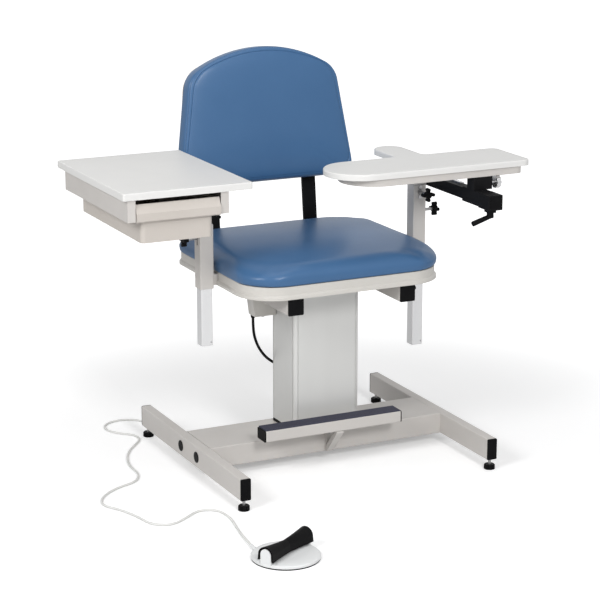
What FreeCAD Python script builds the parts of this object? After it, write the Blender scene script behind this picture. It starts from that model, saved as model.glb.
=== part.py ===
import FreeCAD, Part
import math
import os

# Power lift phlebotomy chair, in millimetres. +Z is up, the sitter faces -Y, and +X is the
# sitter's left hand side. The origin is on the floor at the middle of the four feet.

V = FreeCAD.Vector
AXIS = {"x": V(1, 0, 0), "y": V(0, 1, 0), "z": V(0, 0, 1)}

# Clearances shared by many pieces
slide_gap = 0.3
running_gap = 0.06
cut_overrun = 5.0
plastic_corner = 2.0
route_arc_share = 0.45

# Base frame: two floor rails and a wide crossbeam
rail_length = 666.0
rail_width = 28.0
rail_height = 57.0
rail_wall = 2.0
rail_corner = 3.0
rail_outer_x = 369.0
rail_ground_gap = 28.0
beam_margin = 10.5
beam_wall = 3.0
beam_end_plate = 6.0
access_hole_radius = 13.0
access_hole_spacing = 104.0
plug_flange = 1.5
plug_depth = 6.0
cap_thick = 3.0
cap_insert = 14.0

# Base fasteners
frame_bolt_radius = 4.0
frame_bolt_head_radius = 6.5
frame_bolt_head_height = 5.3
frame_bolt_length = 14.0

# Levelling feet
foot_radius = 14.6
foot_height = 13.0
foot_inset = 13.0
foot_flutes = 8
foot_flute_radius = 2.6
foot_stud_radius = 4.0
foot_stud_top = 46.0
foot_nut_radius = 7.5
foot_nut_height = 6.5

# Foot rest in front of the crossbeam
rest_length = 400.0
rest_shift = -17.0
rest_depth = 48.0
rest_height = 30.0
rest_wall = 2.0
rest_front_reach = 70.0
rest_bottom_z = 103.0
rest_corner = 3.0
grip_thick = 3.0
grip_side_gap = 2.0
grip_grooves = 5
grip_groove_width = 2.0
grip_groove_depth = 1.0
strap_width = 20.0
strap_thick = 5.0
strap_foot_rise = 3.0
small_bolt_radius = 3.0
small_bolt_head_radius = 5.0
small_bolt_head_height = 3.3
small_bolt_length = 9.0

# Lift column: the outer profile rises with the seat and the inner one stands on the base
column_width = 190.0
column_depth = 139.0
column_wall = 5.0
column_corner = 9.0
column_groove_width = 3.0
column_groove_depth = 1.6
column_groove_inset = 10.5
base_plate_thick = 6.0
column_rest_gap = 3.0
column_top_z = 470.0
inner_profile_gap = 3.0
inner_profile_wall = 4.0
inner_profile_top_z = 440.0
glide_width = 34.0
glide_height = 60.0
glide_top_drop = 8.0
wiper_height = 10.0
thrust_tube_radius = 22.0
thrust_tube_wall = 4.0
thrust_tube_top_z = 318.0
nut_radius = 28.0
nut_height = 26.0
spindle_radius = 8.0
spindle_bottom_z = 112.0
motor_width = 66.0
motor_depth = 88.0
motor_bottom_z = 366.0
motor_corner = 8.0
motor_boss_radius = 16.0
motor_boss_height = 6.0

# Seat frame
seat_tube_size = 43.0
seat_tube_wall = 2.5
seat_tube_corner = 3.0
seat_tube_x = 160.0
seat_tube_front_y = -213.0
seat_tube_rear_y = 318.0
seat_tube_bottom_z = 453.0
tube_end_plate = 6.0
mount_plate_thick = 8.0
mount_plate_margin = 6.0
cross_tube_size = 30.0
cross_tube_wall = 2.0
cross_tube_corner = 2.0
cross_tube_half_span = 206.0
front_cross_y = -150.0
rear_cross_y = 205.0

# Arm posts: an outer sleeve on the seat frame and an inner tube that slides in it
post_gap = 8.0
post_y = 17.0
sleeve_size = 38.0
sleeve_wall = 3.0
sleeve_corner = 3.0
sleeve_bottom_z = 489.0
sleeve_top_z = 707.0
post_tube_wall = 2.5
post_tube_corner = 2.0
left_tube_bottom_z = 336.0
right_tube_bottom_z = 262.0
head_gap = 1.0
left_head_bottom_z = 729.0
right_head_height = 34.0
right_head_tail = 14.0
tube_end_hole_radius = 2.5
tube_end_hole_rise = 10.0
height_slot_width = 9.0
height_slot_bottom_z = 603.0
height_slot_top_z = 700.0
front_knob_z = 688.0
left_side_knob_z = 622.0
right_side_knob_z = 634.0
guide_screw_radius = 2.5
guide_screw_head_radius = 5.5
guide_screw_head_height = 3.0
guide_screw_spacing = 26.0
boss_nut_radius = 7.5
boss_nut_height = 6.5

# Star knobs of the posts
knob_stud_radius = 4.0
knob_tip_radius = 18.5
knob_lobe_radius = 4.6
knob_hub_radius = 9.0
knob_thick = 13.0
knob_web = 7.0
side_knob_reach = 30.0
front_knob_reach = 38.0
seat_knob_reach = 6.0
seat_knob_y = -168.0
seat_knob_z = 478.0

# Seat pan, board and cushion
pan_half_width = 284.0
pan_front_y = -222.0
pan_rear_y = 300.0
pan_front_corner = 105.0
pan_rear_corner = 62.0
pan_bottom_z = 497.0
pan_wall = 3.5
pan_deck = 4.0
pan_roll = 5.0
pan_waist = 7.0
seat_board_thick = 12.0
seat_board_inset = 26.0
cushion_side_height = 34.0
cushion_crown = 50.0

# Seat back
upright_x = 148.0
upright_width = 40.0
upright_thick = 8.0
upright_bottom_z = 458.0
upright_bend_z = 505.0
upright_top_z = 905.0
back_lean_deg = 6.4
back_board_thick = 10.0
back_board_inset = 14.0
back_thick = 64.0
back_bottom_z = 686.0
back_height = 368.0
back_bottom_half_width = 258.0
back_top_half_width = 225.0
back_arch_rise = 60.0
back_bottom_corner = 34.0
back_top_corner = 46.0
back_low_bulge_share = 0.19
back_high_bulge_share = 0.2
back_high_reach_share = 0.96
back_high_rise_share = 0.33
back_screw_low = 745.0
back_screw_high = 880.0

# Control box and motor cable
box_width = 70.0
box_depth = 40.0
box_height = 67.0
box_taper = 9.0
box_front_set = 31.5
box_side_gap = 2.0
box_wall = 2.5
box_gland_radius = 7.0
box_gland_height = 9.0
inlet_width = 27.0
inlet_height = 20.0
inlet_depth = 12.0
cable_radius = 3.75
elbow_x = -24.0
elbow_z = 232.0
elbow_half = 8.0
elbow_nose = 8.0
cable_drop = 24.0
cable_lead = 30.0

# Drawer unit on the post at the -X side
desk_width = 343.0
desk_depth = 476.0
desk_thick = 18.0
desk_top_z = 802.0
desk_front_y = -192.0
desk_left_overhang = 12.0
desk_corner = 5.0
desk_edge = 3.0
channel_width = 21.0
channel_height = 55.0
channel_wall = 2.0
channel_front_y = -188.0
channel_length = 445.0
channel_spacing = 225.0
ledge_height = 6.0
ledge_rise = 14.0
drawer_side_gap = 1.5
drawer_wall = 2.5
drawer_flange = 7.0
drawer_flange_thick = 3.0
drawer_top_drop = 19.0
drawer_step_z = 727.0
drawer_bottom_z = 672.0
drawer_step = 16.0
drawer_rear_y = 245.0
drawer_front_set = 12.0
drawer_travel = 250.0
lip_roll = 12.0
lip_face_height = 22.0
lip_top_drop = 13.0
lip_corner = 3.0
drawer_corner = 12.0

# Flip arm on the post at the +X side
arm_beam_width = 32.0
arm_beam_height = 30.0
arm_beam_wall = 2.5
arm_beam_corner = 2.0
arm_beam_side_gap = 1.0
arm_beam_bottom_z = 704.0
arm_beam_front_y = -330.0
arm_beam_tail = 31.0
pivot_radius = 6.0
pivot_head_radius = 10.0
pivot_head_height = 6.5
pivot_hub_radius = 11.0
pivot_collar_radius = 12.0
stop_pin_radius = 3.0
stop_pin_length = 18.0
stop_pin_back = 24.0
arm_sleeve_wall = 2.7
arm_sleeve_rise = 3.7
arm_sleeve_rear_y = -196.0
arm_collar_length = 52.0
arm_collar_swell = 1.5
clamp_boss_length = 26.0
clamp_boss_width = 20.0
clamp_boss_drop = 9.0
arm_block_width = 56.0
arm_block_length = 35.0
arm_block_height = 34.0
arm_block_front_y = -257.0
arm_block_side = 5.0
strip_width = 12.0
strip_thick = 3.0
strip_front_y = -145.0
strip_rear_y = -4.0
wing_stud_radius = 3.0
wing_stud_length = 16.0
wing_radius = 17.0
wing_thick = 12.0
wing_drop = 2.5
wing_flutes = 10
wing_flute_radius = 2.0
lever_hub_radius = 9.0
lever_hub_height = 14.0
lever_length = 52.0
lever_thick = 12.0
lever_end_swell = 1.0
lever_drop = 24.0
lever_back = 8.0
tray_thick = 19.0
tray_left_inset = 42.0
tray_right_inset = 20.0
tray_side_inset = 5.0
arm_board_thick = 16.0
arm_board_length = 548.0
arm_board_reach = 149.0
arm_board_front_y = -262.0
arm_board_rear_y = -78.0
arm_board_corner = 22.0
arm_board_edge = 4.0
elbow_post_gap = 15.0
elbow_width = 83.0
elbow_rear_y = 72.0
elbow_fillet = 14.0

# Foot switch: a round base with a roller pedal that rocks both ways
switch_x = -396.0
switch_y = -650.0
switch_radius = 83.0
switch_ring_height = 3.5
switch_ring_inset = 1.0
switch_rim_z = 8.0
switch_dome = 5.5
switch_turn_deg = 29.5
pedal_axis_z = 32.0
pedal_half_length = 83.0
pedal_end_radius = 20.5
pedal_waist_radius = 12.5
pedal_wall = 3.2
hub_radius = 14.8
hub_thick = 6.0
hub_side_gap = 1.0
hub_skin = 2.5
pedal_pin_radius = 4.0
pedal_skirt = 14.0
pedal_flare_share = 0.08
pedal_swell_power = 1.3
switch_gland_place_deg = 128.0
switch_gland_turn_deg = 84.0
switch_gland_radius = 5.5
switch_gland_tip_radius = 4.2
switch_gland_length = 22.0
switch_gland_z = 7.0

# Foot switch cord
cord_radius = 3.0
cord_floor_z = 3.2
entry_x = -296.0
entry_z = 48.0
entry_gland_radius = 7.0
entry_gland_tip_radius = 4.2
entry_gland_length = 24.0
lead_length = 32.0
entry_lead = 36.0
entry_low_reach = 88.0
entry_low_drop = 37.0

# Sizes that follow from the ones above
rail_top_z = rail_ground_gap + rail_height
rail_inner_x = rail_outer_x - rail_width
rail_middle_z = rail_ground_gap + rail_height / 2
beam_half_depth = column_depth / 2 + beam_margin
foot_y = rail_length / 2 - foot_inset
rest_front_y = -beam_half_depth - rest_front_reach
rest_top_z = rest_bottom_z + rest_height
plate_top_z = rail_top_z + base_plate_thick
column_bottom_z = plate_top_z + column_rest_gap
seat_tube_top_z = seat_tube_bottom_z + seat_tube_size
cross_tube_top_z = seat_tube_top_z + cross_tube_size
mount_plate_top_z = column_top_z + mount_plate_thick
box_front_y = column_depth / 2 - box_front_set
box_left_x = -column_width / 2 - box_side_gap - box_width
post_tube_size = sleeve_size - 2 * sleeve_wall - 2 * slide_gap
sleeve_half = sleeve_size / 2
post_x = pan_half_width + post_gap + sleeve_half
post_front_y = post_y - sleeve_half
post_inner_x = post_x - sleeve_half
post_outer_x = post_x + sleeve_half
desk_bottom_z = desk_top_z - desk_thick
channel_bottom_z = desk_bottom_z - channel_height
right_head_bottom_z = sleeve_top_z + head_gap
right_head_top_z = right_head_bottom_z + right_head_height
pan_top_z = cross_tube_top_z + pan_deck
back_mount_y = seat_tube_rear_y + tube_end_plate
arm_beam_left_x = post_outer_x + arm_beam_side_gap
arm_beam_right_x = arm_beam_left_x + arm_beam_width
arm_beam_top_z = arm_beam_bottom_z + arm_beam_height
arm_beam_x = (arm_beam_left_x + arm_beam_right_x) / 2
arm_block_left_x = arm_beam_left_x - arm_block_side
arm_board_right_x = arm_beam_x + arm_board_reach
arm_board_left_x = arm_board_right_x - arm_board_length
elbow_left_x = post_inner_x - elbow_post_gap - elbow_width
pivot_z = arm_beam_bottom_z + arm_beam_height / 2
arm_sleeve_top_z = arm_beam_top_z + slide_gap + arm_sleeve_rise
arm_sleeve_bottom_z = arm_beam_bottom_z - slide_gap - arm_sleeve_rise
arm_sleeve_front_y = arm_beam_front_y - cap_thick + slide_gap
arm_block_top_z = arm_sleeve_top_z + arm_block_height
tray_bottom_z = arm_block_top_z
arm_board_bottom_z = tray_bottom_z + tray_thick
outer_channel_x = -post_outer_x - channel_width - channel_spacing
drawer_left_x = outer_channel_x + drawer_side_gap
drawer_right_x = outer_channel_x + channel_spacing - drawer_side_gap
ledge_top_z = channel_bottom_z + ledge_rise


# Building blocks

def block(x0, x1, y0, y1, z0, z1):
    return Part.makeBox(x1 - x0, y1 - y0, z1 - z0, V(x0, y0, z0))


def rod(radius, start, end):
    span = end - start
    return Part.makeCylinder(radius, span.Length, start, span)


def taper(radius, tip_radius, start, end):
    span = end - start
    return Part.makeCone(radius, tip_radius, span.Length, start, span)


def edges_along(shape, axis):
    direction = AXIS[axis]
    return [e for e in shape.Edges if abs(e.tangentAt(e.FirstParameter).dot(direction)) > 0.999]


def rounded_bar(x0, x1, y0, y1, z0, z1, axis, corner):
    bar = block(x0, x1, y0, y1, z0, z1)
    return bar.makeFillet(corner, edges_along(bar, axis))


def hollow_bar(x0, x1, y0, y1, z0, z1, axis, wall, corner):
    outer = rounded_bar(x0, x1, y0, y1, z0, z1, axis, corner)
    grow = {"x": wall, "y": wall, "z": wall}
    grow[axis] = -cut_overrun
    gx, gy, gz = grow["x"], grow["y"], grow["z"]
    return outer.cut(block(x0 + gx, x1 - gx, y0 + gy, y1 - gy, z0 + gz, z1 - gz))


def arc_between(centre, radius, start_deg, end_deg):
    points = []
    for angle in (start_deg, (start_deg + end_deg) / 2, end_deg):
        turn = math.radians(angle)
        points.append(V(centre.x + radius * math.cos(turn), centre.y + radius * math.sin(turn), centre.z))
    return Part.Arc(*points).toShape()


def rounded_outline(x0, x1, y0, y1, z, front_corner, rear_corner):
    parts = [
        arc_between(V(x1 - front_corner, y0 + front_corner, z), front_corner, -90, 0),
        Part.makeLine(V(x1, y0 + front_corner, z), V(x1, y1 - rear_corner, z)),
        arc_between(V(x1 - rear_corner, y1 - rear_corner, z), rear_corner, 0, 90),
        Part.makeLine(V(x1 - rear_corner, y1, z), V(x0 + rear_corner, y1, z)),
        arc_between(V(x0 + rear_corner, y1 - rear_corner, z), rear_corner, 90, 180),
        Part.makeLine(V(x0, y1 - rear_corner, z), V(x0, y0 + front_corner, z)),
        arc_between(V(x0 + front_corner, y0 + front_corner, z), front_corner, 180, 270),
        Part.makeLine(V(x0 + front_corner, y0, z), V(x1 - front_corner, y0, z)),
    ]
    return Part.Wire(parts)


def prism(points, push):
    wire = Part.makePolygon(points + [points[0]])
    return Part.Face(wire).extrude(push)


def turned(shape, direction, place):
    copy = shape.copy()
    copy.Placement = FreeCAD.Placement(place, FreeCAD.Rotation(V(0, 0, 1), direction))
    return copy


def mirrored(shape):
    return shape.mirror(V(0, 0, 0), V(1, 0, 0))


def both_sides(shape):
    return [shape, mirrored(shape)]


def bolt(radius, head_radius, head_height, length, face, direction):
    shank = Part.makeCylinder(radius, length, V(0, 0, -length))
    head = Part.makeCylinder(head_radius, head_height)
    return turned(shank.fuse(head), direction, face)


def hex_nut(radius, height, hole, face, direction):
    corners = []
    for side in range(6):
        turn = math.radians(60 * side)
        corners.append(V(radius * math.cos(turn), radius * math.sin(turn), 0))
    nut = prism(corners, V(0, 0, height))
    nut = nut.cut(Part.makeCylinder(hole, height + 2 * cut_overrun, V(0, 0, -cut_overrun)))
    return turned(nut, direction, face)


# A route of straight runs joined by the largest even arcs

def route_wire(points, name):
    runs = [(b - a) for a, b in zip(points, points[1:])]
    edges = []
    radii = []
    here = points[0]
    for index in range(1, len(points) - 1):
        before, after = runs[index - 1], runs[index]
        turn = before.getAngle(after)
        reach = route_arc_share * min(before.Length, after.Length)
        radii.append(reach / math.tan(turn / 2))
        entry = points[index] - before.normalize() * reach
        leave = points[index] + V(after).normalize() * reach
        runs[index - 1] = points[index] - points[index - 1]
        bisector = ((entry + leave) * 0.5 - points[index]).normalize()
        middle_reach = radii[-1] * (1 / math.cos(turn / 2) - 1)
        edges.append(Part.LineSegment(here, entry).toShape())
        edges.append(Part.Arc(entry, points[index] + bisector * middle_reach, leave).toShape())
        here = leave
    edges.append(Part.LineSegment(here, points[-1]).toShape())
    print(name, "arc radii", [round(r) for r in radii])
    return Part.Wire(edges)


def route_tube(points, radius, name):
    path = route_wire(points, name)
    ring = Part.Wire(Part.makeCircle(radius, points[0], points[1] - points[0]))
    tube = path.makePipeShell([ring], True, False)
    expected = math.pi * radius * radius * path.Length
    print(name, "length", round(path.Length), "volume ratio", round(tube.Volume / expected, 4))
    return tube


# Base frame

def rail():
    length = rail_length - 2 * cap_thick
    shape = hollow_bar(rail_inner_x, rail_outer_x, -length / 2, length / 2,
                       rail_ground_gap, rail_top_z, "y", rail_wall, rail_corner)
    for side in (-1, 1):
        hole_y = side * access_hole_spacing / 2
        outer = V(rail_outer_x + cut_overrun, hole_y, rail_middle_z)
        middle = V(rail_outer_x - rail_width / 2, hole_y, rail_middle_z)
        inner = V(rail_inner_x - cut_overrun, hole_y, rail_middle_z)
        shape = shape.cut(rod(access_hole_radius, middle, outer))
        shape = shape.cut(rod(frame_bolt_radius, inner, middle))
        stud_x = rail_outer_x - rail_width / 2
        foot_hole = rod(foot_stud_radius + running_gap, V(stud_x, side * foot_y, 0),
                        V(stud_x, side * foot_y, rail_middle_z))
        shape = shape.cut(foot_hole)
    return shape


def crossbeam():
    shape = hollow_bar(-rail_inner_x, rail_inner_x, -beam_half_depth, beam_half_depth,
                       rail_ground_gap, rail_top_z, "x", beam_wall, rail_corner)
    for side in (-1, 1):
        near, far = sorted((side * (rail_inner_x - beam_end_plate), side * rail_inner_x))
        plate = block(near, far, -beam_half_depth + beam_wall, beam_half_depth - beam_wall,
                      rail_ground_gap + beam_wall, rail_top_z - beam_wall)
        shape = shape.fuse(plate)
        for end in (-1, 1):
            hole_y = end * access_hole_spacing / 2
            start = V(side * (rail_inner_x - frame_bolt_length), hole_y, rail_middle_z)
            finish = V(side * (rail_inner_x + cut_overrun), hole_y, rail_middle_z)
            shape = shape.cut(rod(frame_bolt_radius, start, finish))
    entry = rod(entry_gland_tip_radius, V(entry_x, beam_half_depth - beam_wall - cut_overrun, entry_z),
                V(entry_x, beam_half_depth + cut_overrun, entry_z))
    return shape.cut(entry).removeSplitter()


def end_caps():
    caps = []
    for side in (-1, 1):
        for end in (-1, 1):
            x0, x1 = sorted((side * rail_inner_x, side * rail_outer_x))
            y0, y1 = sorted((end * rail_length / 2, end * (rail_length / 2 - cap_thick)))
            flange = rounded_bar(x0, x1, y0, y1, rail_ground_gap, rail_top_z, "y", rail_corner)
            tongue_y = end * (rail_length / 2 - cap_thick - cap_insert)
            t0, t1 = sorted((tongue_y, end * (rail_length / 2 - cap_thick)))
            tongue = block(x0 + rail_wall, x1 - rail_wall, t0, t1,
                           rail_ground_gap + rail_wall, rail_top_z - rail_wall)
            keep = foot_stud_radius + slide_gap + foot_nut_radius
            stud_x = side * (rail_outer_x - rail_width / 2)
            relief = rod(keep, V(stud_x, end * foot_y, 0), V(stud_x, end * foot_y, foot_stud_top + slide_gap))
            caps.append(flange.fuse(tongue).cut(relief))
    return caps


def hole_plugs():
    plugs = []
    for side in (-1, 1):
        for end in (-1, 1):
            centre_y = end * access_hole_spacing / 2
            face = V(side * rail_outer_x, centre_y, rail_middle_z)
            out = V(side * plug_flange, 0, 0)
            back = V(-side * plug_depth, 0, 0)
            flange = rod(access_hole_radius + plug_flange, face, face + out)
            plugs.append(flange.fuse(rod(access_hole_radius, face, face + back)))
    return plugs


def frame_bolts():
    bolts = []
    for side in (-1, 1):
        for end in (-1, 1):
            face = V(side * (rail_inner_x + rail_wall), end * access_hole_spacing / 2, rail_middle_z)
            bolts.append(bolt(frame_bolt_radius, frame_bolt_head_radius, frame_bolt_head_height,
                              frame_bolt_length + rail_wall, face, V(side, 0, 0)))
    return bolts


def levelling_foot(side, end):
    x = side * (rail_outer_x - rail_width / 2)
    y = end * foot_y
    pad = rod(foot_radius, V(x, y, 0), V(x, y, foot_height))
    top_edges = [e for e in pad.Edges if abs(e.CenterOfMass.z - foot_height) < slide_gap]
    pad = pad.makeChamfer(plastic_corner, top_edges)
    for flute in range(foot_flutes):
        turn = 2 * math.pi * flute / foot_flutes
        place = V(x + foot_radius * math.cos(turn), y + foot_radius * math.sin(turn), 0)
        cutter = rod(foot_flute_radius, place + V(0, 0, plastic_corner), place + V(0, 0, foot_height + cut_overrun))
        pad = pad.cut(cutter)
    stud = rod(foot_stud_radius, V(x, y, foot_height), V(x, y, foot_stud_top))
    return [pad, stud]


def foot_nuts():
    nuts = []
    for side in (-1, 1):
        for end in (-1, 1):
            place = V(side * (rail_outer_x - rail_width / 2), end * foot_y, rail_ground_gap + rail_wall)
            nuts.append(hex_nut(foot_nut_radius, foot_nut_height, foot_stud_radius + running_gap,
                                place, V(0, 0, 1)))
    return nuts


# Foot rest

def rest_ends():
    return rest_shift - rest_length / 2, rest_shift + rest_length / 2


def footrest_bar():
    x0, x1 = rest_ends()
    return hollow_bar(x0 + cap_thick, x1 - cap_thick, rest_front_y, rest_front_y + rest_depth,
                      rest_bottom_z, rest_top_z, "x", rest_wall, rest_corner)


def footrest_grip():
    x0, x1 = rest_ends()
    y0 = rest_front_y + grip_side_gap
    y1 = rest_front_y + rest_depth - grip_side_gap
    grip_top_z = rest_top_z + grip_thick
    shape = block(x0 + cap_thick, x1 - cap_thick, y0, y1, rest_top_z, grip_top_z)
    pitch = (y1 - y0) / (grip_grooves + 1)
    for groove in range(grip_grooves):
        middle = y0 + pitch * (groove + 1)
        shape = shape.cut(block(x0, x1, middle - grip_groove_width / 2, middle + grip_groove_width / 2,
                                grip_top_z - grip_groove_depth, grip_top_z + cut_overrun))
    return shape


def footrest_plugs():
    plugs = []
    for side, end in zip((-1, 1), rest_ends()):
        x0, x1 = sorted((end, end - side * cap_thick))
        flange = rounded_bar(x0, x1, rest_front_y, rest_front_y + rest_depth,
                             rest_bottom_z, rest_top_z, "x", rest_corner)
        t0, t1 = sorted((end - side * cap_thick, end - side * (cap_thick + cap_insert)))
        tongue = block(t0, t1, rest_front_y + rest_wall, rest_front_y + rest_depth - rest_wall,
                       rest_bottom_z + rest_wall, rest_top_z - rest_wall)
        plugs.append(flange.fuse(tongue))
    return plugs


def footrest_bracket():
    low_z = rail_ground_gap + strap_foot_rise
    back_y = -beam_half_depth
    outline = [V(-strap_width / 2, back_y, low_z), V(-strap_width / 2, back_y, rest_bottom_z),
               V(-strap_width / 2, rest_front_y, rest_bottom_z),
               V(-strap_width / 2, rest_front_y, rest_bottom_z - strap_thick),
               V(-strap_width / 2, back_y - 2 * strap_thick, low_z)]
    shape = prism(outline, V(strap_width, 0, 0))
    inner = [V(-strap_width, back_y - strap_thick, low_z + 3 * strap_thick),
             V(-strap_width, back_y - strap_thick, rest_bottom_z - strap_thick),
             V(-strap_width, rest_front_y + 3 * strap_thick, rest_bottom_z - strap_thick)]
    shape = shape.cut(prism(inner, V(2 * strap_width, 0, 0)))
    for place, way in footrest_bolt_places():
        shape = shape.cut(rod(small_bolt_radius, place - way * small_bolt_length, place))
    return shape


def footrest_bolt_places():
    leg_x = 0
    leg_y = -beam_half_depth - strap_thick
    shelf_z = rest_bottom_z - strap_thick
    shelf_y = rest_front_y + rest_depth / 2
    return [
        (V(leg_x, leg_y, rest_bottom_z - 4 * strap_thick), V(0, -1, 0)),
        (V(leg_x, shelf_y, shelf_z), V(0, 0, -1)),
    ]


def footrest_bolts():
    return [bolt(small_bolt_radius, small_bolt_head_radius, small_bolt_head_height,
                 small_bolt_length, place, way) for place, way in footrest_bolt_places()]


def cut_footrest_bolts(shape):
    for place, way in footrest_bolt_places():
        shape = shape.cut(rod(small_bolt_radius, place - way * small_bolt_length, place))
    return shape


# Lift column

def column_base_plate():
    half_x = column_width / 2
    half_y = column_depth / 2
    return rounded_bar(-half_x, half_x, -half_y, half_y, rail_top_z, plate_top_z, "z", column_corner)


def column_outer_profile():
    half_x = column_width / 2
    half_y = column_depth / 2
    shape = rounded_bar(-half_x, half_x, -half_y, half_y, column_bottom_z, column_top_z, "z", column_corner)
    hollow = rounded_bar(-half_x + column_wall, half_x - column_wall, -half_y + column_wall,
                         half_y - column_wall, column_bottom_z - cut_overrun,
                         column_top_z + cut_overrun, "z", column_corner - column_wall)
    shape = shape.cut(hollow)
    for side in (-1, 1):
        for face in (-1, 1):
            middle = side * (half_x - column_groove_inset)
            y0, y1 = sorted((face * (half_y - column_groove_depth), face * (half_y + cut_overrun)))
            shape = shape.cut(block(middle - column_groove_width / 2, middle + column_groove_width / 2,
                                    y0, y1, column_bottom_z - cut_overrun, column_top_z + cut_overrun))
            middle = face * (half_y - column_groove_inset)
            x0, x1 = sorted((side * (half_x - column_groove_depth), side * (half_x + cut_overrun)))
            shape = shape.cut(block(x0, x1, middle - column_groove_width / 2, middle + column_groove_width / 2,
                                    column_bottom_z - cut_overrun, column_top_z + cut_overrun))
    start = V(elbow_x, half_y - column_wall - cut_overrun, elbow_z)
    return shape.cut(rod(cable_radius, start, start + V(0, column_wall + 2 * cut_overrun, 0)))


def inner_half_sizes():
    shrink = column_wall + inner_profile_gap
    return column_width / 2 - shrink, column_depth / 2 - shrink


def column_inner_profile():
    half_x, half_y = inner_half_sizes()
    return hollow_bar(-half_x, half_x, -half_y, half_y, plate_top_z, inner_profile_top_z,
                      "z", inner_profile_wall, inner_profile_wall)


def column_glides():
    half_x, half_y = inner_half_sizes()
    pad = inner_profile_gap - slide_gap
    top = inner_profile_top_z - glide_top_drop
    bottom = top - glide_height
    pads = []
    for side in (-1, 1):
        for place in (-1, 1):
            x0, x1 = sorted((side * half_x, side * (half_x + pad)))
            y_mid = place * (half_y - glide_width)
            pads.append(block(x0, x1, y_mid - glide_width / 2, y_mid + glide_width / 2, bottom, top))
            y0, y1 = sorted((side * half_y, side * (half_y + pad)))
            x_mid = place * (half_x - glide_width)
            pads.append(block(x_mid - glide_width / 2, x_mid + glide_width / 2, y0, y1, bottom, top))
    return pads


def column_wiper():
    half_x, half_y = inner_half_sizes()
    out_x = column_width / 2 - column_wall
    out_y = column_depth / 2 - column_wall
    top = column_bottom_z + wiper_height
    ring = rounded_bar(-out_x, out_x, -out_y, out_y, column_bottom_z, top, "z", column_corner - column_wall)
    return ring.cut(block(-half_x - slide_gap, half_x + slide_gap, -half_y - slide_gap,
                          half_y + slide_gap, column_bottom_z - cut_overrun, top + cut_overrun))


def thrust_tube():
    tube = rod(thrust_tube_radius, V(0, 0, plate_top_z), V(0, 0, thrust_tube_top_z))
    bore = rod(thrust_tube_radius - thrust_tube_wall, V(0, 0, plate_top_z - cut_overrun),
               V(0, 0, thrust_tube_top_z + cut_overrun))
    return tube.cut(bore)


def spindle_nut():
    top = thrust_tube_top_z + nut_height
    nut = rod(nut_radius, V(0, 0, thrust_tube_top_z), V(0, 0, top))
    bore = rod(spindle_radius + running_gap, V(0, 0, thrust_tube_top_z - cut_overrun), V(0, 0, top + cut_overrun))
    return nut.cut(bore)


def lift_spindle():
    shaft_top = motor_bottom_z + motor_boss_height - slide_gap
    return rod(spindle_radius, V(0, 0, spindle_bottom_z), V(0, 0, shaft_top))


def lift_motor():
    half_x = motor_width / 2
    half_y = motor_depth / 2
    shape = rounded_bar(-half_x, half_x, -half_y, half_y, motor_bottom_z, column_top_z, "z", motor_corner)
    boss = rod(motor_boss_radius, V(0, 0, motor_bottom_z - motor_boss_height), V(0, 0, motor_bottom_z))
    bore = rod(spindle_radius + running_gap, V(0, 0, motor_bottom_z - 2 * motor_boss_height),
               V(0, 0, motor_bottom_z + motor_boss_height))
    return shape.fuse(boss).cut(bore)


# Seat frame

def seat_tube():
    half = seat_tube_size / 2
    shape = hollow_bar(seat_tube_x - half, seat_tube_x + half, seat_tube_front_y, seat_tube_rear_y,
                       seat_tube_bottom_z, seat_tube_top_z, "y", seat_tube_wall, seat_tube_corner)
    plate = block(seat_tube_x - half, seat_tube_x + half, seat_tube_rear_y,
                  back_mount_y, seat_tube_bottom_z, seat_tube_top_z)
    return shape.fuse(plate)


def seat_tubes():
    face = V(seat_tube_x + seat_tube_size / 2, seat_knob_y, seat_knob_z)
    deep = V(seat_tube_wall + slide_gap, 0, 0)
    knob_hole = rod(knob_stud_radius + running_gap, face - deep, face + deep)
    return [cut_all(mirrored(seat_tube()), upright_bolts()),
            cut_all(seat_tube(), upright_bolts() + [knob_hole])]


def seat_tube_caps():
    half = seat_tube_size / 2
    flange = rounded_bar(seat_tube_x - half, seat_tube_x + half, seat_tube_front_y - cap_thick,
                         seat_tube_front_y, seat_tube_bottom_z, seat_tube_top_z, "y", seat_tube_corner)
    tongue = block(seat_tube_x - half + seat_tube_wall, seat_tube_x + half - seat_tube_wall,
                   seat_tube_front_y, seat_tube_front_y + cap_insert,
                   seat_tube_bottom_z + seat_tube_wall, seat_tube_top_z - seat_tube_wall)
    return both_sides(flange.fuse(tongue))


def seat_mount_plate():
    reach = seat_tube_x - seat_tube_size / 2
    half_y = column_depth / 2 + mount_plate_margin
    return block(-reach, reach, -half_y, half_y, column_top_z, mount_plate_top_z)


def cross_tube(middle_y, half_span):
    half = cross_tube_size / 2
    return hollow_bar(-half_span, half_span, middle_y - half, middle_y + half,
                      seat_tube_top_z, cross_tube_top_z, "x", cross_tube_wall, cross_tube_corner)


def seat_cross_tubes():
    return [cross_tube(front_cross_y, cross_tube_half_span), cross_tube(rear_cross_y, cross_tube_half_span)]


def arm_cross_tube():
    return cross_tube(post_y, post_inner_x)


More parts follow.
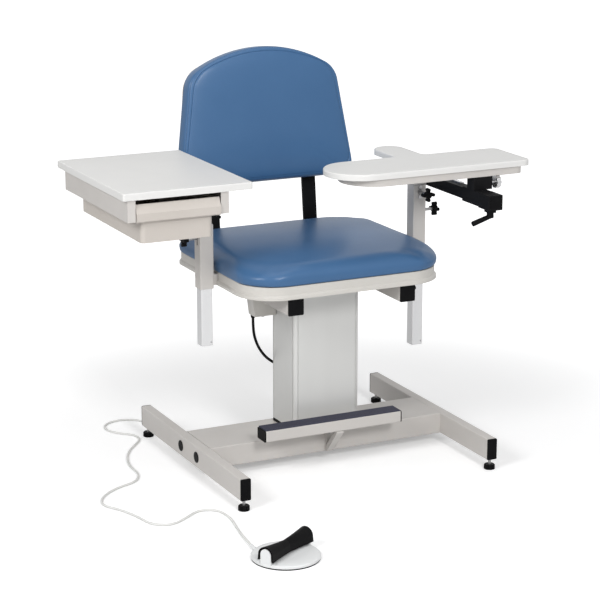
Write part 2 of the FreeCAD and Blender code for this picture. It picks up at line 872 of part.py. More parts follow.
def seat_pan():
    waist = pan_bottom_z + pan_waist
    levels = [(pan_bottom_z, 0), (waist, 0), (waist + pan_roll, pan_roll), (pan_top_z, pan_roll)]
    sections = [rounded_outline(-pan_half_width + inset, pan_half_width - inset, pan_front_y + inset,
                                pan_rear_y - inset, z, pan_front_corner - inset, pan_rear_corner - inset)
                for z, inset in levels]
    shape = Part.makeLoft(sections, True, True)
    inside = pan_roll + pan_wall
    hollow_wire = rounded_outline(-pan_half_width + inside, pan_half_width - inside, pan_front_y + inside,
                                  pan_rear_y - inside, pan_bottom_z - cut_overrun,
                                  pan_front_corner - inside, pan_rear_corner - inside)
    hollow = Part.Face(hollow_wire).extrude(V(0, 0, cross_tube_top_z - pan_bottom_z + cut_overrun))
    shape = shape.cut(hollow)
    notch_half = cross_tube_size / 2 + slide_gap
    notch = block(-pan_half_width - cut_overrun, pan_half_width + cut_overrun, post_y - notch_half,
                  post_y + notch_half, pan_bottom_z - cut_overrun, cross_tube_top_z)
    return shape.cut(notch)


def seat_board():
    inset = seat_board_inset
    wire = rounded_outline(-pan_half_width + inset, pan_half_width - inset, pan_front_y + inset,
                           pan_rear_y - inset, pan_top_z, pan_front_corner - inset, pan_rear_corner - inset)
    return Part.Face(wire).extrude(V(0, 0, seat_board_thick))


# Each level is a share of the crown height and how far the outline is drawn in there
seat_level_shares = [(0.0, 0.17), (0.24, 0.03), (0.48, 0.0), (0.66, 0.03), (0.8, 0.17),
                     (0.9, 0.5), (0.96, 1.1), (1.0, 2.3)]


def seat_cushion():
    sections = []
    for height_share, inset_share in seat_level_shares:
        inset = inset_share * cushion_side_height
        z = pan_top_z + height_share * cushion_crown
        front_corner = pan_front_corner - inset * pan_front_corner / pan_half_width
        rear_corner = pan_rear_corner - inset * pan_rear_corner / pan_half_width
        sections.append(rounded_outline(-pan_half_width + inset, pan_half_width - inset,
                                        pan_front_y + inset, pan_rear_y - inset, z,
                                        front_corner, rear_corner))
    shape = Part.makeLoft(sections, True, True)
    return shape.cut(seat_board())


# Seat back, modelled upright and then leaned about the bend of its uprights

def leaned(shape):
    copy = shape.copy()
    copy.rotate(V(0, back_mount_y, upright_bend_z), V(1, 0, 0), -back_lean_deg)
    return copy


def across(point):
    return V(-point.x, point.y, point.z)


def back_outline(y, inset):
    bottom_z = back_bottom_z + inset
    shoulder_z = back_bottom_z + back_height - back_arch_rise - inset * back_top_corner / back_height
    top_z = back_bottom_z + back_height - inset
    low_x = back_bottom_half_width - inset
    high_x = back_top_half_width - inset
    side = V(high_x - low_x, 0, shoulder_z - bottom_z)
    unit = V(side).normalize()
    low_corner = back_bottom_corner
    low_start = V(low_x - low_corner, y, bottom_z)
    low_end = V(low_x, y, bottom_z) + unit * low_corner
    low_mid = (low_start + low_end) * 0.5 + V(1, 0, -1) * (low_corner * back_low_bulge_share)
    high_start = V(high_x, y, shoulder_z) - unit * back_top_corner
    high_end = V(high_x - back_top_corner * back_high_reach_share, y,
                 shoulder_z + back_top_corner * back_high_rise_share)
    outward = V(1, 0, 2 * back_high_rise_share)
    high_mid = (high_start + high_end) * 0.5 + outward * (back_top_corner * back_high_bulge_share)
    parts = [
        Part.makeLine(across(low_start), low_start),
        Part.Arc(low_start, low_mid, low_end).toShape(),
        Part.makeLine(low_end, high_start),
        Part.Arc(high_start, high_mid, high_end).toShape(),
        Part.Arc(high_end, V(0, y, top_z), across(high_end)).toShape(),
        Part.Arc(across(high_end), across(high_mid), across(high_start)).toShape(),
        Part.makeLine(across(high_start), across(low_end)),
        Part.Arc(across(low_end), across(low_mid), across(low_start)).toShape(),
    ]
    return Part.Wire(parts)


def back_board():
    face = Part.Face(back_outline(back_mount_y, back_board_inset))
    return leaned(face.extrude(V(0, -back_board_thick, 0)))


# Each level is a share of the back's thickness and how far the outline is drawn in there
back_level_shares = [(0.0, 0.16), (0.2, 0.02), (0.5, 0.0), (0.74, 0.05), (0.88, 0.2), (0.96, 0.55), (1.0, 1.3)]


def back_cushion():
    sections = []
    for depth_share, inset_share in back_level_shares:
        y = back_mount_y - back_board_thick - depth_share * back_thick
        sections.append(back_outline(y, inset_share * back_bottom_corner))
    return leaned(Part.makeLoft(sections, True, True))


def back_uprights():
    half = upright_width / 2
    leg = block(upright_x - half, upright_x + half, back_mount_y, back_mount_y + upright_thick,
                upright_bottom_z, upright_bend_z)
    arm = leaned(block(upright_x - half, upright_x + half, back_mount_y, back_mount_y + upright_thick,
                       upright_bend_z, upright_top_z))
    bend = math.radians(back_lean_deg)
    rear = back_mount_y + upright_thick
    wedge = prism([V(upright_x - half, back_mount_y, upright_bend_z), V(upright_x - half, rear, upright_bend_z),
                   V(upright_x - half, back_mount_y + upright_thick * math.cos(bend),
                     upright_bend_z - upright_thick * math.sin(bend))], V(upright_width, 0, 0))
    shape = leg.fuse(arm).fuse(wedge).removeSplitter()
    return both_sides(shape)


def back_screws():
    screws = []
    for z in (back_screw_low, back_screw_high):
        face = V(upright_x, back_mount_y + upright_thick, z)
        screw = leaned(bolt(small_bolt_radius, small_bolt_head_radius, small_bolt_head_height,
                            small_bolt_length + upright_thick, face, V(0, 1, 0)))
        screws += both_sides(screw)
    return screws


def upright_bolts():
    bolts = []
    for z in (upright_bottom_z + upright_thick, seat_tube_top_z - upright_thick):
        face = V(upright_x, back_mount_y + upright_thick, z)
        bolts += both_sides(bolt(small_bolt_radius, small_bolt_head_radius, small_bolt_head_height,
                                 upright_thick + tube_end_plate, face, V(0, 1, 0)))
    return bolts


def cut_all(shape, tools):
    for tool in tools:
        shape = shape.cut(tool)
    return shape


# Arm posts

def guide_screw_places(side):
    return [V(side * post_x, post_front_y, front_knob_z + step * guide_screw_spacing / 2) for step in (-1, 1)]


def post_sleeve(side):
    x0, x1 = sorted((side * post_inner_x, side * post_outer_x))
    shape = hollow_bar(x0, x1, post_front_y, post_front_y + sleeve_size, sleeve_bottom_z,
                       sleeve_top_z, "z", sleeve_wall, sleeve_corner)
    s0, s1 = sorted((side * (post_outer_x + cut_overrun), side * (post_outer_x - sleeve_wall - slide_gap)))
    half = height_slot_width / 2
    slot = block(s0, s1, post_y - half, post_y + half, height_slot_bottom_z + half, height_slot_top_z - half)
    for z in (height_slot_bottom_z + half, height_slot_top_z - half):
        slot = slot.fuse(rod(half, V(s0, post_y, z), V(s1, post_y, z)))
    shape = shape.cut(slot)
    face = V(side * post_x, post_front_y, front_knob_z)
    deep = V(0, sleeve_wall + slide_gap, 0)
    shape = shape.cut(rod(knob_stud_radius + running_gap, face - deep, face + deep))
    for place in guide_screw_places(side):
        shape = shape.cut(rod(guide_screw_radius, place - deep, place + deep))
    return shape


def guide_screws():
    screws = []
    for side in (-1, 1):
        for place in guide_screw_places(side):
            screws.append(bolt(guide_screw_radius, guide_screw_head_radius, guide_screw_head_height,
                               sleeve_wall, place, V(0, -1, 0)))
    return screws


def clamp_nuts():
    nuts = []
    for side in (-1, 1):
        face = V(side * post_x, post_front_y, front_knob_z)
        nuts.append(hex_nut(boss_nut_radius, boss_nut_height, knob_stud_radius + running_gap,
                            face, V(0, -1, 0)))
    return nuts


def post_tube(side, bottom_z, head_z, stud_z):
    half = post_tube_size / 2
    middle = side * post_x
    shape = hollow_bar(middle - half, middle + half, post_y - half, post_y + half,
                       bottom_z, head_z, "z", post_tube_wall, post_tube_corner)
    outer = V(side * (post_x + half + cut_overrun), post_y, stud_z)
    shape = shape.cut(rod(knob_stud_radius + running_gap, V(middle, post_y, stud_z), outer))
    hole = V(middle + half - 2 * tube_end_hole_radius, post_y - half, bottom_z + tube_end_hole_rise)
    reach = V(0, cut_overrun, 0)
    return shape.cut(rod(tube_end_hole_radius, hole - reach, hole + reach))


def post_tube_left():
    shape = post_tube(-1, left_tube_bottom_z, left_head_bottom_z, left_side_knob_z)
    head = block(-post_outer_x, -post_inner_x, post_front_y, post_front_y + sleeve_size,
                 left_head_bottom_z, desk_bottom_z)
    shape = shape.fuse(head)
    return cut_all(shape, channel_bolts()).removeSplitter()


def post_tube_right():
    shape = post_tube(1, right_tube_bottom_z, right_head_bottom_z, right_side_knob_z)
    head = block(post_inner_x, post_outer_x, post_front_y, post_front_y + sleeve_size + right_head_tail,
                 right_head_bottom_z, right_head_top_z)
    shape = shape.fuse(head)
    hole = rod(pivot_radius, V(post_x, post_y, pivot_z), V(post_outer_x + cut_overrun, post_y, pivot_z))
    return shape.cut(hole).cut(stop_pin()).removeSplitter()


def star_knob(stud_length):
    shape = Part.makeCylinder(knob_hub_radius, knob_thick)
    centre = knob_tip_radius - knob_lobe_radius
    for lobe in range(4):
        arm = block(0, centre, -knob_web / 2, knob_web / 2, 0, knob_thick)
        tip = Part.makeCylinder(knob_lobe_radius, knob_thick, V(centre, 0, 0))
        piece = arm.fuse(tip)
        piece.rotate(V(0, 0, 0), V(0, 0, 1), 90 * lobe)
        shape = shape.fuse(piece)
    stud = Part.makeCylinder(knob_stud_radius, stud_length, V(0, 0, -stud_length))
    return [shape.removeSplitter(), stud]


def side_knob(side, z):
    seat = side * (post_x + post_tube_size / 2 - post_tube_wall)
    back = side * (post_outer_x + side_knob_reach)
    place = V(back, post_y, z)
    return [turned(s, V(side, 0, 0), place) for s in star_knob(abs(back - seat))]


def front_knob(side):
    tip = post_y - post_tube_size / 2 - slide_gap / 2
    back = post_front_y - front_knob_reach
    return [turned(s, V(0, -1, 0), V(side * post_x, back, front_knob_z)) for s in star_knob(tip - back)]


def seat_knob():
    face_x = seat_tube_x + seat_tube_size / 2
    place = V(face_x + seat_knob_reach, seat_knob_y, seat_knob_z)
    return [turned(s, V(1, 0, 0), place) for s in star_knob(seat_knob_reach + seat_tube_wall)]


# Control box under the seat and its cable

def box_bottom_z():
    return seat_tube_bottom_z - box_height


def control_box():
    x0, x1 = box_left_x, box_left_x + box_width
    y0, y1 = box_front_y, box_front_y + box_depth
    t = box_taper
    top = Part.makePolygon([V(x0, y0, seat_tube_bottom_z), V(x1, y0, seat_tube_bottom_z),
                            V(x1, y1, seat_tube_bottom_z), V(x0, y1, seat_tube_bottom_z),
                            V(x0, y0, seat_tube_bottom_z)])
    low = box_bottom_z()
    bottom = Part.makePolygon([V(x0 + t, y0, low), V(x1, y0, low), V(x1, y1, low),
                               V(x0 + t, y1, low), V(x0 + t, y0, low)])
    shape = Part.makeLoft([bottom, top], True, True)
    w = box_wall
    hollow = block(x0 + t + w, x1 - w, y0 + w, y1 - w, low + w, seat_tube_bottom_z - w)
    shape = shape.cut(hollow)
    for place in box_gland_places():
        shape = shape.cut(rod(cable_radius, place - V(0, 0, cut_overrun), place + V(0, 0, cut_overrun)))
    return shape.cut(block(*inlet_box()))


def box_gland_places():
    inset = box_gland_radius + box_wall / 2
    first = V(box_left_x + box_taper + inset, box_front_y + box_depth - inset, box_bottom_z())
    return [first, first + V(4 * box_gland_radius, 0, 0)]


def inlet_box():
    middle_x = box_left_x + (box_width + box_taper) / 2
    middle_z = seat_tube_bottom_z - box_height / 2
    y1 = box_front_y + box_depth
    return (middle_x - inlet_width / 2, middle_x + inlet_width / 2, y1 - box_wall, y1 + box_wall,
            middle_z - inlet_height / 2, middle_z + inlet_height / 2)


def box_fittings():
    drop = V(0, 0, -box_gland_height)
    pieces = []
    for place in box_gland_places():
        gland = taper(box_gland_radius, cable_radius + plastic_corner, place, place + drop)
        pieces.append(gland.cut(rod(cable_radius, place - drop, place + 2 * drop)))
    x0, x1, y0, y1, z0, z1 = inlet_box()
    socket = block(x0, x1, y1 - inlet_depth, y1, z0, z1)
    rim = 2 * box_wall
    cavity = block(x0 + rim, x1 - rim, y1 - inlet_depth + box_wall, y1 + cut_overrun, z0 + rim, z1 - rim)
    pieces.append(socket.cut(cavity))
    face_y = column_depth / 2
    out_y = face_y + 2 * elbow_half
    body = rounded_bar(elbow_x - elbow_half, elbow_x + elbow_half, face_y, out_y,
                       elbow_z - elbow_half, elbow_z + elbow_half, "x", plastic_corner)
    root = V(elbow_x - elbow_half, face_y + elbow_half, elbow_z)
    pieces.append(body.fuse(taper(elbow_half - plastic_corner, cable_radius + plastic_corner / 2,
                                  root, elbow_tip())))
    return pieces


def elbow_tip():
    return V(elbow_x - elbow_half - elbow_nose, column_depth / 2 + elbow_half, elbow_z)


# The motor cable hangs from the box and turns in behind the column

# Its points between the leads are x, the distance behind the column's rear face, and z
motor_cable_points = [(-143, 7, 320), (-128, 9, 284), (-104, 9, 254)]


def motor_cable():
    start = box_gland_places()[0] - V(0, 0, box_gland_height)
    points = [start, start - V(0, 0, cable_drop)]
    points += [V(x, column_depth / 2 + back, z) for x, back, z in motor_cable_points]
    points += [elbow_tip() - V(cable_lead, 0, 0), elbow_tip()]
    return route_tube(points, cable_radius, "motor cable")


# Drawer unit

def desk_board():
    x0 = outer_channel_x - channel_width - desk_left_overhang
    board = rounded_bar(x0, x0 + desk_width, desk_front_y, desk_front_y + desk_depth,
                        desk_bottom_z, desk_top_z, "z", desk_corner)
    top_edges = [e for e in board.Edges if abs(e.BoundBox.ZMin - desk_top_z) < slide_gap]
    return board.makeFillet(desk_edge, top_edges)


def channel_shape(outer_x, way):
    w = channel_wall
    y0, y1 = channel_front_y, channel_front_y + channel_length
    inner_x = outer_x + way * channel_width
    x0, x1 = sorted((outer_x, inner_x))
    shape = block(x0, x1, y0, y1, channel_bottom_z, desk_bottom_z)
    c0, c1 = sorted((outer_x + way * w, inner_x + way * cut_overrun))
    shape = shape.cut(block(c0, c1, y0 + w, y1 + cut_overrun, channel_bottom_z + w, desk_bottom_z - w))
    l0, l1 = sorted((outer_x + way * w, inner_x - way * w))
    ledge = block(l0, l1, y0 + w, y1, ledge_top_z - ledge_height, ledge_top_z)
    return shape.fuse(ledge)


def drawer_channels():
    outer = channel_shape(outer_channel_x - channel_width, 1)
    inner = channel_shape(-post_outer_x, -1)
    return [cut_all(outer, desk_screws()), cut_all(inner, channel_bolts() + desk_screws())]


def channel_bolts():
    z = desk_bottom_z - 2 * frame_bolt_head_radius
    face_x = -post_outer_x - channel_wall
    bolts = []
    for step in (-1, 1):
        face = V(face_x, post_y + step * sleeve_size / 4, z)
        bolts.append(bolt(small_bolt_radius, small_bolt_head_radius, small_bolt_head_height,
                          small_bolt_length, face, V(-1, 0, 0)))
    return bolts


def desk_screws():
    screws = []
    z = desk_bottom_z - channel_wall
    for middle_x in (outer_channel_x - channel_width / 2, -post_outer_x - channel_width / 2):
        for y in (channel_front_y + 2 * channel_width, channel_front_y + channel_length - 2 * channel_width):
            screws.append(bolt(small_bolt_radius, small_bolt_head_radius, small_bolt_head_height,
                               small_bolt_length + channel_wall, V(middle_x, y, z), V(0, 0, -1)))
    return screws


def drawer_tray():
    x0, x1 = drawer_left_x, drawer_right_x
    y0 = desk_front_y + drawer_front_set
    y1 = drawer_rear_y
    top = desk_bottom_z - drawer_top_drop
    w = drawer_wall
    step = drawer_step
    bin_block = rounded_bar(x0 + step, x1 - step, y0 + w, y1 - w, drawer_bottom_z, top, "z", drawer_corner)
    shape = block(x0, x1, y0, y1, drawer_step_z, top).fuse(bin_block)
    upper_space = block(x0 + w, x1 - w, y0 + w, y1 - w, drawer_step_z + w, top + cut_overrun)
    bin_space = rounded_bar(x0 + step + w, x1 - step - w, y0 + 2 * w, y1 - 2 * w, drawer_bottom_z + w,
                            top + cut_overrun, "z", drawer_corner - w)
    shape = shape.cut(upper_space).cut(bin_space)
    face_y = desk_front_y
    face_top = drawer_step_z + lip_face_height
    lip_top = desk_bottom_z - lip_top_drop
    lip = prism([V(x0, face_y, drawer_step_z + lip_corner), V(x0, face_y, face_top),
                 V(x0, face_y + lip_roll, lip_top), V(x0, y0 + w, lip_top),
                 V(x0, y0 + w, drawer_step_z), V(x0, face_y + lip_corner, drawer_step_z)],
                V(x1 - x0, 0, 0))
    shape = shape.fuse(lip)
    flange_z = ledge_top_z + slide_gap
    for edge_x, out_x in ((x0, x0 - drawer_flange), (x1, x1 + drawer_flange)):
        f0, f1 = sorted((edge_x, out_x))
        front = channel_front_y + 2 * channel_wall + drawer_travel
        shape = shape.fuse(block(f0, f1, front, y1, flange_z, flange_z + drawer_flange_thick))
    return shape.removeSplitter()


# Flip arm

def arm_beam():
    y1 = post_y + arm_beam_tail
    shape = hollow_bar(arm_beam_left_x, arm_beam_right_x, arm_beam_front_y, y1, arm_beam_bottom_z,
                       arm_beam_top_z, "y", arm_beam_wall, arm_beam_corner)
    a = V(arm_beam_left_x, post_y, pivot_z)
    b = V(arm_beam_right_x, post_y, pivot_z)
    shape = shape.fuse(rod(pivot_hub_radius, a, b))
    overrun = V(cut_overrun, 0, 0)
    return shape.cut(rod(pivot_radius + running_gap, a - overrun, b + overrun)).removeSplitter()


def arm_beam_plugs():
    w = arm_beam_wall
    plugs = []
    for end, way in ((arm_beam_front_y, -1), (post_y + arm_beam_tail, 1)):
        y0, y1 = sorted((end, end + way * cap_thick))
        flange = rounded_bar(arm_beam_left_x, arm_beam_right_x, y0, y1, arm_beam_bottom_z,
                             arm_beam_top_z, "y", arm_beam_corner)
        t0, t1 = sorted((end, end - way * cap_insert / 2))
        plugs.append(flange.fuse(block(arm_beam_left_x + w, arm_beam_right_x - w, t0, t1,
                                       arm_beam_bottom_z + w, arm_beam_top_z - w)))
    return plugs


def arm_pivot_bolt():
    start = V(post_x, post_y, pivot_z)
    shoulder = arm_beam_right_x + slide_gap
    shape = rod(pivot_radius, start, V(shoulder, post_y, pivot_z))
    collar = rod(pivot_collar_radius, V(post_outer_x, post_y, pivot_z),
                 V(arm_beam_left_x - slide_gap, post_y, pivot_z))
    head = rod(pivot_head_radius, V(shoulder, post_y, pivot_z), V(shoulder + pivot_head_height, post_y, pivot_z))
    return shape.fuse(collar).fuse(head).removeSplitter()


def stop_pin():
    z = arm_beam_top_z + stop_pin_radius + slide_gap
    y = post_y + stop_pin_back
    return rod(stop_pin_radius, V(post_outer_x - 2 * stop_pin_radius, y, z), V(post_outer_x + stop_pin_length, y, z))


def arm_slide_sleeve():
    gap_x = slide_gap + arm_sleeve_wall
    x0, x1 = arm_beam_left_x - gap_x, arm_beam_right_x + gap_x
    collar_rear = arm_sleeve_front_y + arm_collar_length
    shape = rounded_bar(x0, x1, collar_rear, arm_sleeve_rear_y, arm_sleeve_bottom_z, arm_sleeve_top_z,
                        "y", arm_beam_corner)
    s = arm_collar_swell
    collar = rounded_bar(x0 - s, x1 + s, arm_sleeve_front_y, collar_rear, arm_sleeve_bottom_z - s,
                         arm_sleeve_top_z, "y", arm_beam_corner)
    boss_mid = arm_sleeve_front_y + arm_collar_length / 2
    boss = block(arm_beam_x - clamp_boss_width / 2, arm_beam_x + clamp_boss_width / 2,
                 boss_mid - clamp_boss_length / 2, boss_mid + clamp_boss_length / 2,
                 arm_sleeve_bottom_z - s - clamp_boss_drop, arm_sleeve_bottom_z)
    shape = shape.fuse(collar).fuse(boss)
    hole = block(arm_beam_left_x - slide_gap, arm_beam_right_x + slide_gap, arm_sleeve_front_y - cut_overrun,
                 arm_sleeve_rear_y + cut_overrun, arm_beam_bottom_z - slide_gap, arm_beam_top_z + slide_gap)
    shape = shape.cut(hole)
    screw = rod(knob_stud_radius + running_gap, V(arm_beam_x, boss_mid, 0),
                V(arm_beam_x, boss_mid, arm_beam_bottom_z))
    return shape.cut(screw).removeSplitter()


def arm_block():
    x0, x1 = arm_block_left_x, arm_block_left_x + arm_block_width
    y0, y1 = arm_block_front_y, arm_block_front_y + arm_block_length
    shape = rounded_bar(x0, x1, y0, y1, arm_sleeve_top_z, arm_block_top_z, "z", plastic_corner)
    web = arm_block_length / 4
    pocket = block(x0 + web, x1 - web, y0 + web, y1 + cut_overrun,
                   arm_sleeve_top_z + web, arm_block_top_z - web)
    shape = shape.cut(pocket)
    stud = wing_stud_place()
    inward = V(-2 * web, 0, 0)
    return shape.cut(rod(wing_stud_radius + running_gap, stud + inward, stud + V(cut_overrun, 0, 0)))


def wing_stud_place():
    return V(arm_block_left_x + arm_block_width, arm_block_front_y + arm_block_length / 2,
             arm_sleeve_top_z + arm_block_height / 2 - wing_drop)


def arm_scale_strip():
    return block(arm_beam_right_x - strip_width, arm_beam_right_x, strip_front_y, strip_rear_y,
                 arm_beam_top_z, arm_beam_top_z + strip_thick)


def arm_wing_knob():
    root = wing_stud_place() - V(arm_block_length / 4, 0, 0)
    grip = wing_stud_place() + V(wing_stud_length, 0, 0)
    shape = Part.makeCylinder(wing_radius, wing_thick)
    for flute in range(wing_flutes):
        turn = 2 * math.pi * flute / wing_flutes
        place = V(wing_radius * math.cos(turn), wing_radius * math.sin(turn), -cut_overrun)
        shape = shape.cut(Part.makeCylinder(wing_flute_radius, wing_thick + 2 * cut_overrun, place))
    knob = turned(shape, V(1, 0, 0), grip)
    return knob.fuse(rod(wing_stud_radius, root, grip))


def arm_lock_lever():
    boss_mid = arm_sleeve_front_y + arm_collar_length / 2
    boss_bottom = arm_sleeve_bottom_z - arm_collar_swell - clamp_boss_drop
    top = V(arm_beam_x, boss_mid, boss_bottom - slide_gap)
    low = top - V(0, 0, lever_hub_height)
    hub = rod(lever_hub_radius, low, top)
    stud_top = V(arm_beam_x, boss_mid, arm_beam_bottom_z - slide_gap / 2)
    stud = rod(knob_stud_radius, top, stud_top)
    tip = V(arm_beam_x - lever_length, boss_mid, low.z - lever_drop + lever_thick)
    root = V(arm_beam_x + lever_back, boss_mid, low.z + lever_thick / 2)
    handle = taper(lever_thick / 2, lever_thick / 2 + lever_end_swell, root, tip)
    ends = [e for e in handle.Edges
            if min((e.BoundBox.Center - tip).Length, (e.BoundBox.Center - root).Length) < slide_gap]
    handle = handle.makeFillet(plastic_corner, ends)
    return hub.fuse(stud).fuse(handle)


def arm_outline(z, grow_left, grow_right, grow_side):
    x0 = arm_board_left_x + grow_left
    x1 = arm_board_right_x - grow_right
    y0 = arm_board_front_y + grow_side
    y1 = arm_board_rear_y - grow_side
    round_end = (y1 - y0) / 2
    c = arm_board_corner
    middle = V(x0 + round_end, (y0 + y1) / 2, z)
    tip = V(x0, (y0 + y1) / 2, z)
    slant = round_end * math.sin(math.radians(45))
    return [
        Part.makeLine(V(x0 + round_end, y0, z), V(x1 - c, y0, z)),
        arc_between(V(x1 - c, y0 + c, z), c, -90, 0),
        Part.makeLine(V(x1, y0 + c, z), V(x1, y1 - c, z)),
        arc_between(V(x1 - c, y1 - c, z), c, 0, 90),
        Part.makeLine(V(x1 - c, y1, z), V(x0 + round_end, y1, z)),
        Part.Arc(V(x0 + round_end, y1, z), middle + V(-slant, slant, 0), tip).toShape(),
        Part.Arc(tip, middle + V(-slant, -slant, 0), V(x0 + round_end, y0, z)).toShape(),
    ]


def arm_tray():
    wire = Part.Wire(arm_outline(tray_bottom_z, tray_left_inset, tray_right_inset, tray_side_inset))
    return Part.Face(wire).extrude(V(0, 0, tray_thick))


def arm_board():
    z = arm_board_bottom_z
    main = Part.Face(Part.Wire(arm_outline(z, 0, 0, 0))).extrude(V(0, 0, arm_board_thick))
    half = elbow_width / 2
    centre = V(elbow_left_x + half, elbow_rear_y - half, z)
    elbow = block(elbow_left_x, elbow_left_x + elbow_width, arm_board_rear_y - arm_board_corner,
                  centre.y, z, z + arm_board_thick)
    elbow = elbow.fuse(rod(half, centre, centre + V(0, 0, arm_board_thick)))
    shape = main.fuse(elbow).removeSplitter()
    corners = [e for e in edges_along(shape, "z")
               if abs(e.CenterOfMass.y - arm_board_rear_y) < slide_gap
               and elbow_left_x - slide_gap < e.CenterOfMass.x < elbow_left_x + elbow_width + slide_gap]
    shape = shape.makeFillet(elbow_fillet, corners)
    rims = [e for e in shape.Edges if e.BoundBox.ZMin > z + arm_board_thick - slide_gap]
    return shape.makeFillet(arm_board_edge, rims)


# Foot switch

def switch_frame(shape):
    copy = shape.copy()
    copy.Placement = FreeCAD.Placement(V(switch_x, switch_y, 0),
                                       FreeCAD.Rotation(V(0, 0, 1), switch_turn_deg))
    return copy


def hub_outer_x():
    return pedal_half_length - hub_side_gap


def pin_reach():
    return hub_outer_x() - hub_skin


# Each level of the domed top is a share of its height and of the radius drawn in there
switch_dome_shares = [(0.0, 0.0), (0.45, 0.035), (0.8, 0.16), (1.0, 0.34)]


def switch_base():
    ring = Part.makeCylinder(switch_radius - switch_ring_inset, switch_ring_height)
    disc = Part.makeCylinder(switch_radius, switch_rim_z - switch_ring_height, V(0, 0, switch_ring_height))
    circles = []
    for rise, inset in switch_dome_shares:
        level = V(0, 0, switch_rim_z + rise * switch_dome)
        circles.append(Part.Wire(Part.makeCircle(switch_radius * (1 - inset), level)))
    shape = ring.fuse(disc).fuse(Part.makeLoft(circles, True, True))
    for side in (-1, 1):
        x0, x1 = sorted((side * (hub_outer_x() - hub_thick), side * hub_outer_x()))
        post = block(x0, x1, -hub_radius, hub_radius, switch_ring_height, pedal_axis_z)
        arch = rod(hub_radius, V(x0, 0, pedal_axis_z), V(x1, 0, pedal_axis_z))
        shape = shape.fuse(post).fuse(arch)
    reach = pin_reach() + slide_gap
    bore = rod(pedal_pin_radius + running_gap, V(-reach, 0, pedal_axis_z), V(reach, 0, pedal_axis_z))
    return switch_frame(shape.cut(bore).removeSplitter())


# An arch over two flared skirts, across the pedal at one place along it
def pedal_section(x, radius, skirt):
    wide = radius * (1 + pedal_flare_share)
    left, right = V(x, -radius, pedal_axis_z), V(x, radius, pedal_axis_z)
    low_left, low_right = V(x, -wide, pedal_axis_z - skirt), V(x, wide, pedal_axis_z - skirt)
    return Part.Wire([
        Part.Arc(left, V(x, 0, pedal_axis_z + radius), right).toShape(),
        Part.makeLine(right, low_right),
        Part.makeLine(low_right, low_left),
        Part.makeLine(low_left, left),
    ])


# Places along the pedal as shares of its half length
pedal_station_shares = [-1.0, -0.66, -0.33, 0.0, 0.33, 0.66, 1.0]


def switch_pedal():
    half = pedal_half_length
    outers, inners = [], []
    for share in pedal_station_shares:
        swell = abs(share) ** pedal_swell_power
        radius = pedal_waist_radius + (pedal_end_radius - pedal_waist_radius) * swell
        outers.append(pedal_section(share * half, radius, pedal_skirt))
        inners.append(pedal_section(share * half, radius - pedal_wall, pedal_skirt + cut_overrun))
    shell = Part.makeLoft(outers, True, True).cut(Part.makeLoft(inners, True, True))
    inner = hub_outer_x() - hub_thick - hub_side_gap
    rib = rod(pedal_waist_radius - pedal_wall / 2, V(-inner, 0, pedal_axis_z), V(inner, 0, pedal_axis_z))
    pin = rod(pedal_pin_radius, V(-pin_reach(), 0, pedal_axis_z), V(pin_reach(), 0, pedal_axis_z))
    return switch_frame(shell.fuse(rib).fuse(pin).removeSplitter())


def gland_direction():
    turn = math.radians(switch_gland_turn_deg)
    return V(math.cos(turn), math.sin(turn), 0)


def switch_gland_root():
    turn = math.radians(switch_gland_place_deg)
    out = V(math.cos(turn), math.sin(turn), 0) * switch_radius
    return V(switch_x, switch_y, switch_gland_z) + out


def switch_gland_tip():
    return switch_gland_root() + gland_direction() * switch_gland_length


def switch_gland():
    buried = switch_gland_root() - gland_direction() * (switch_gland_length / 2)
    root = switch_gland_root()
    shape = rod(switch_gland_radius, buried, root)
    shape = shape.fuse(taper(switch_gland_radius, switch_gland_tip_radius, root, switch_gland_tip()))
    return shape.cut(switch_base())


def entry_gland():
    root = V(entry_x, beam_half_depth, entry_z)
    shape = taper(entry_gland_radius, entry_gland_tip_radius, root, root + V(0, entry_gland_length, 0))
    plug = rod(entry_gland_tip_radius, root - V(0, beam_wall, 0), root)
    return shape.fuse(plug)


# The cord's route over the floor, from the switch to the rear of the crossbeam

cord_floor_points = [
    (-432, -470), (-421, -416), (-410, -357), (-418, -299), (-462, -281), (-506, -314),
    (-559, -348), (-604, -322), (-613, -262), (-634, -196), (-668, -142), (-641, -84),
    (-586, -41), (-524, -20), (-496, 30), (-497, 98), (-479, 166), (-447, 224),
    (-411, 265), (-388, 297), (-390, 335), (-420, 362), (-443, 396), (-444, 436),
    (-418, 467), (-376, 478), (-337, 457), (-311, 413), (-299, 356), (-295, 297), (-300, 240),
]


def switch_cord():
    start = switch_gland_tip()
    lead = gland_direction()
    points = [start, start + lead * lead_length]
    points += [V(x, y, cord_floor_z) for x, y in cord_floor_points]
    tip = V(entry_x, beam_half_depth + entry_gland_length, entry_z)
    points += [tip + V(0, entry_low_reach, -entry_low_drop), tip + V(0, entry_lead, 0), tip]
    return route_tube(points, cord_radius, "switch cord")


# Every node of the chair

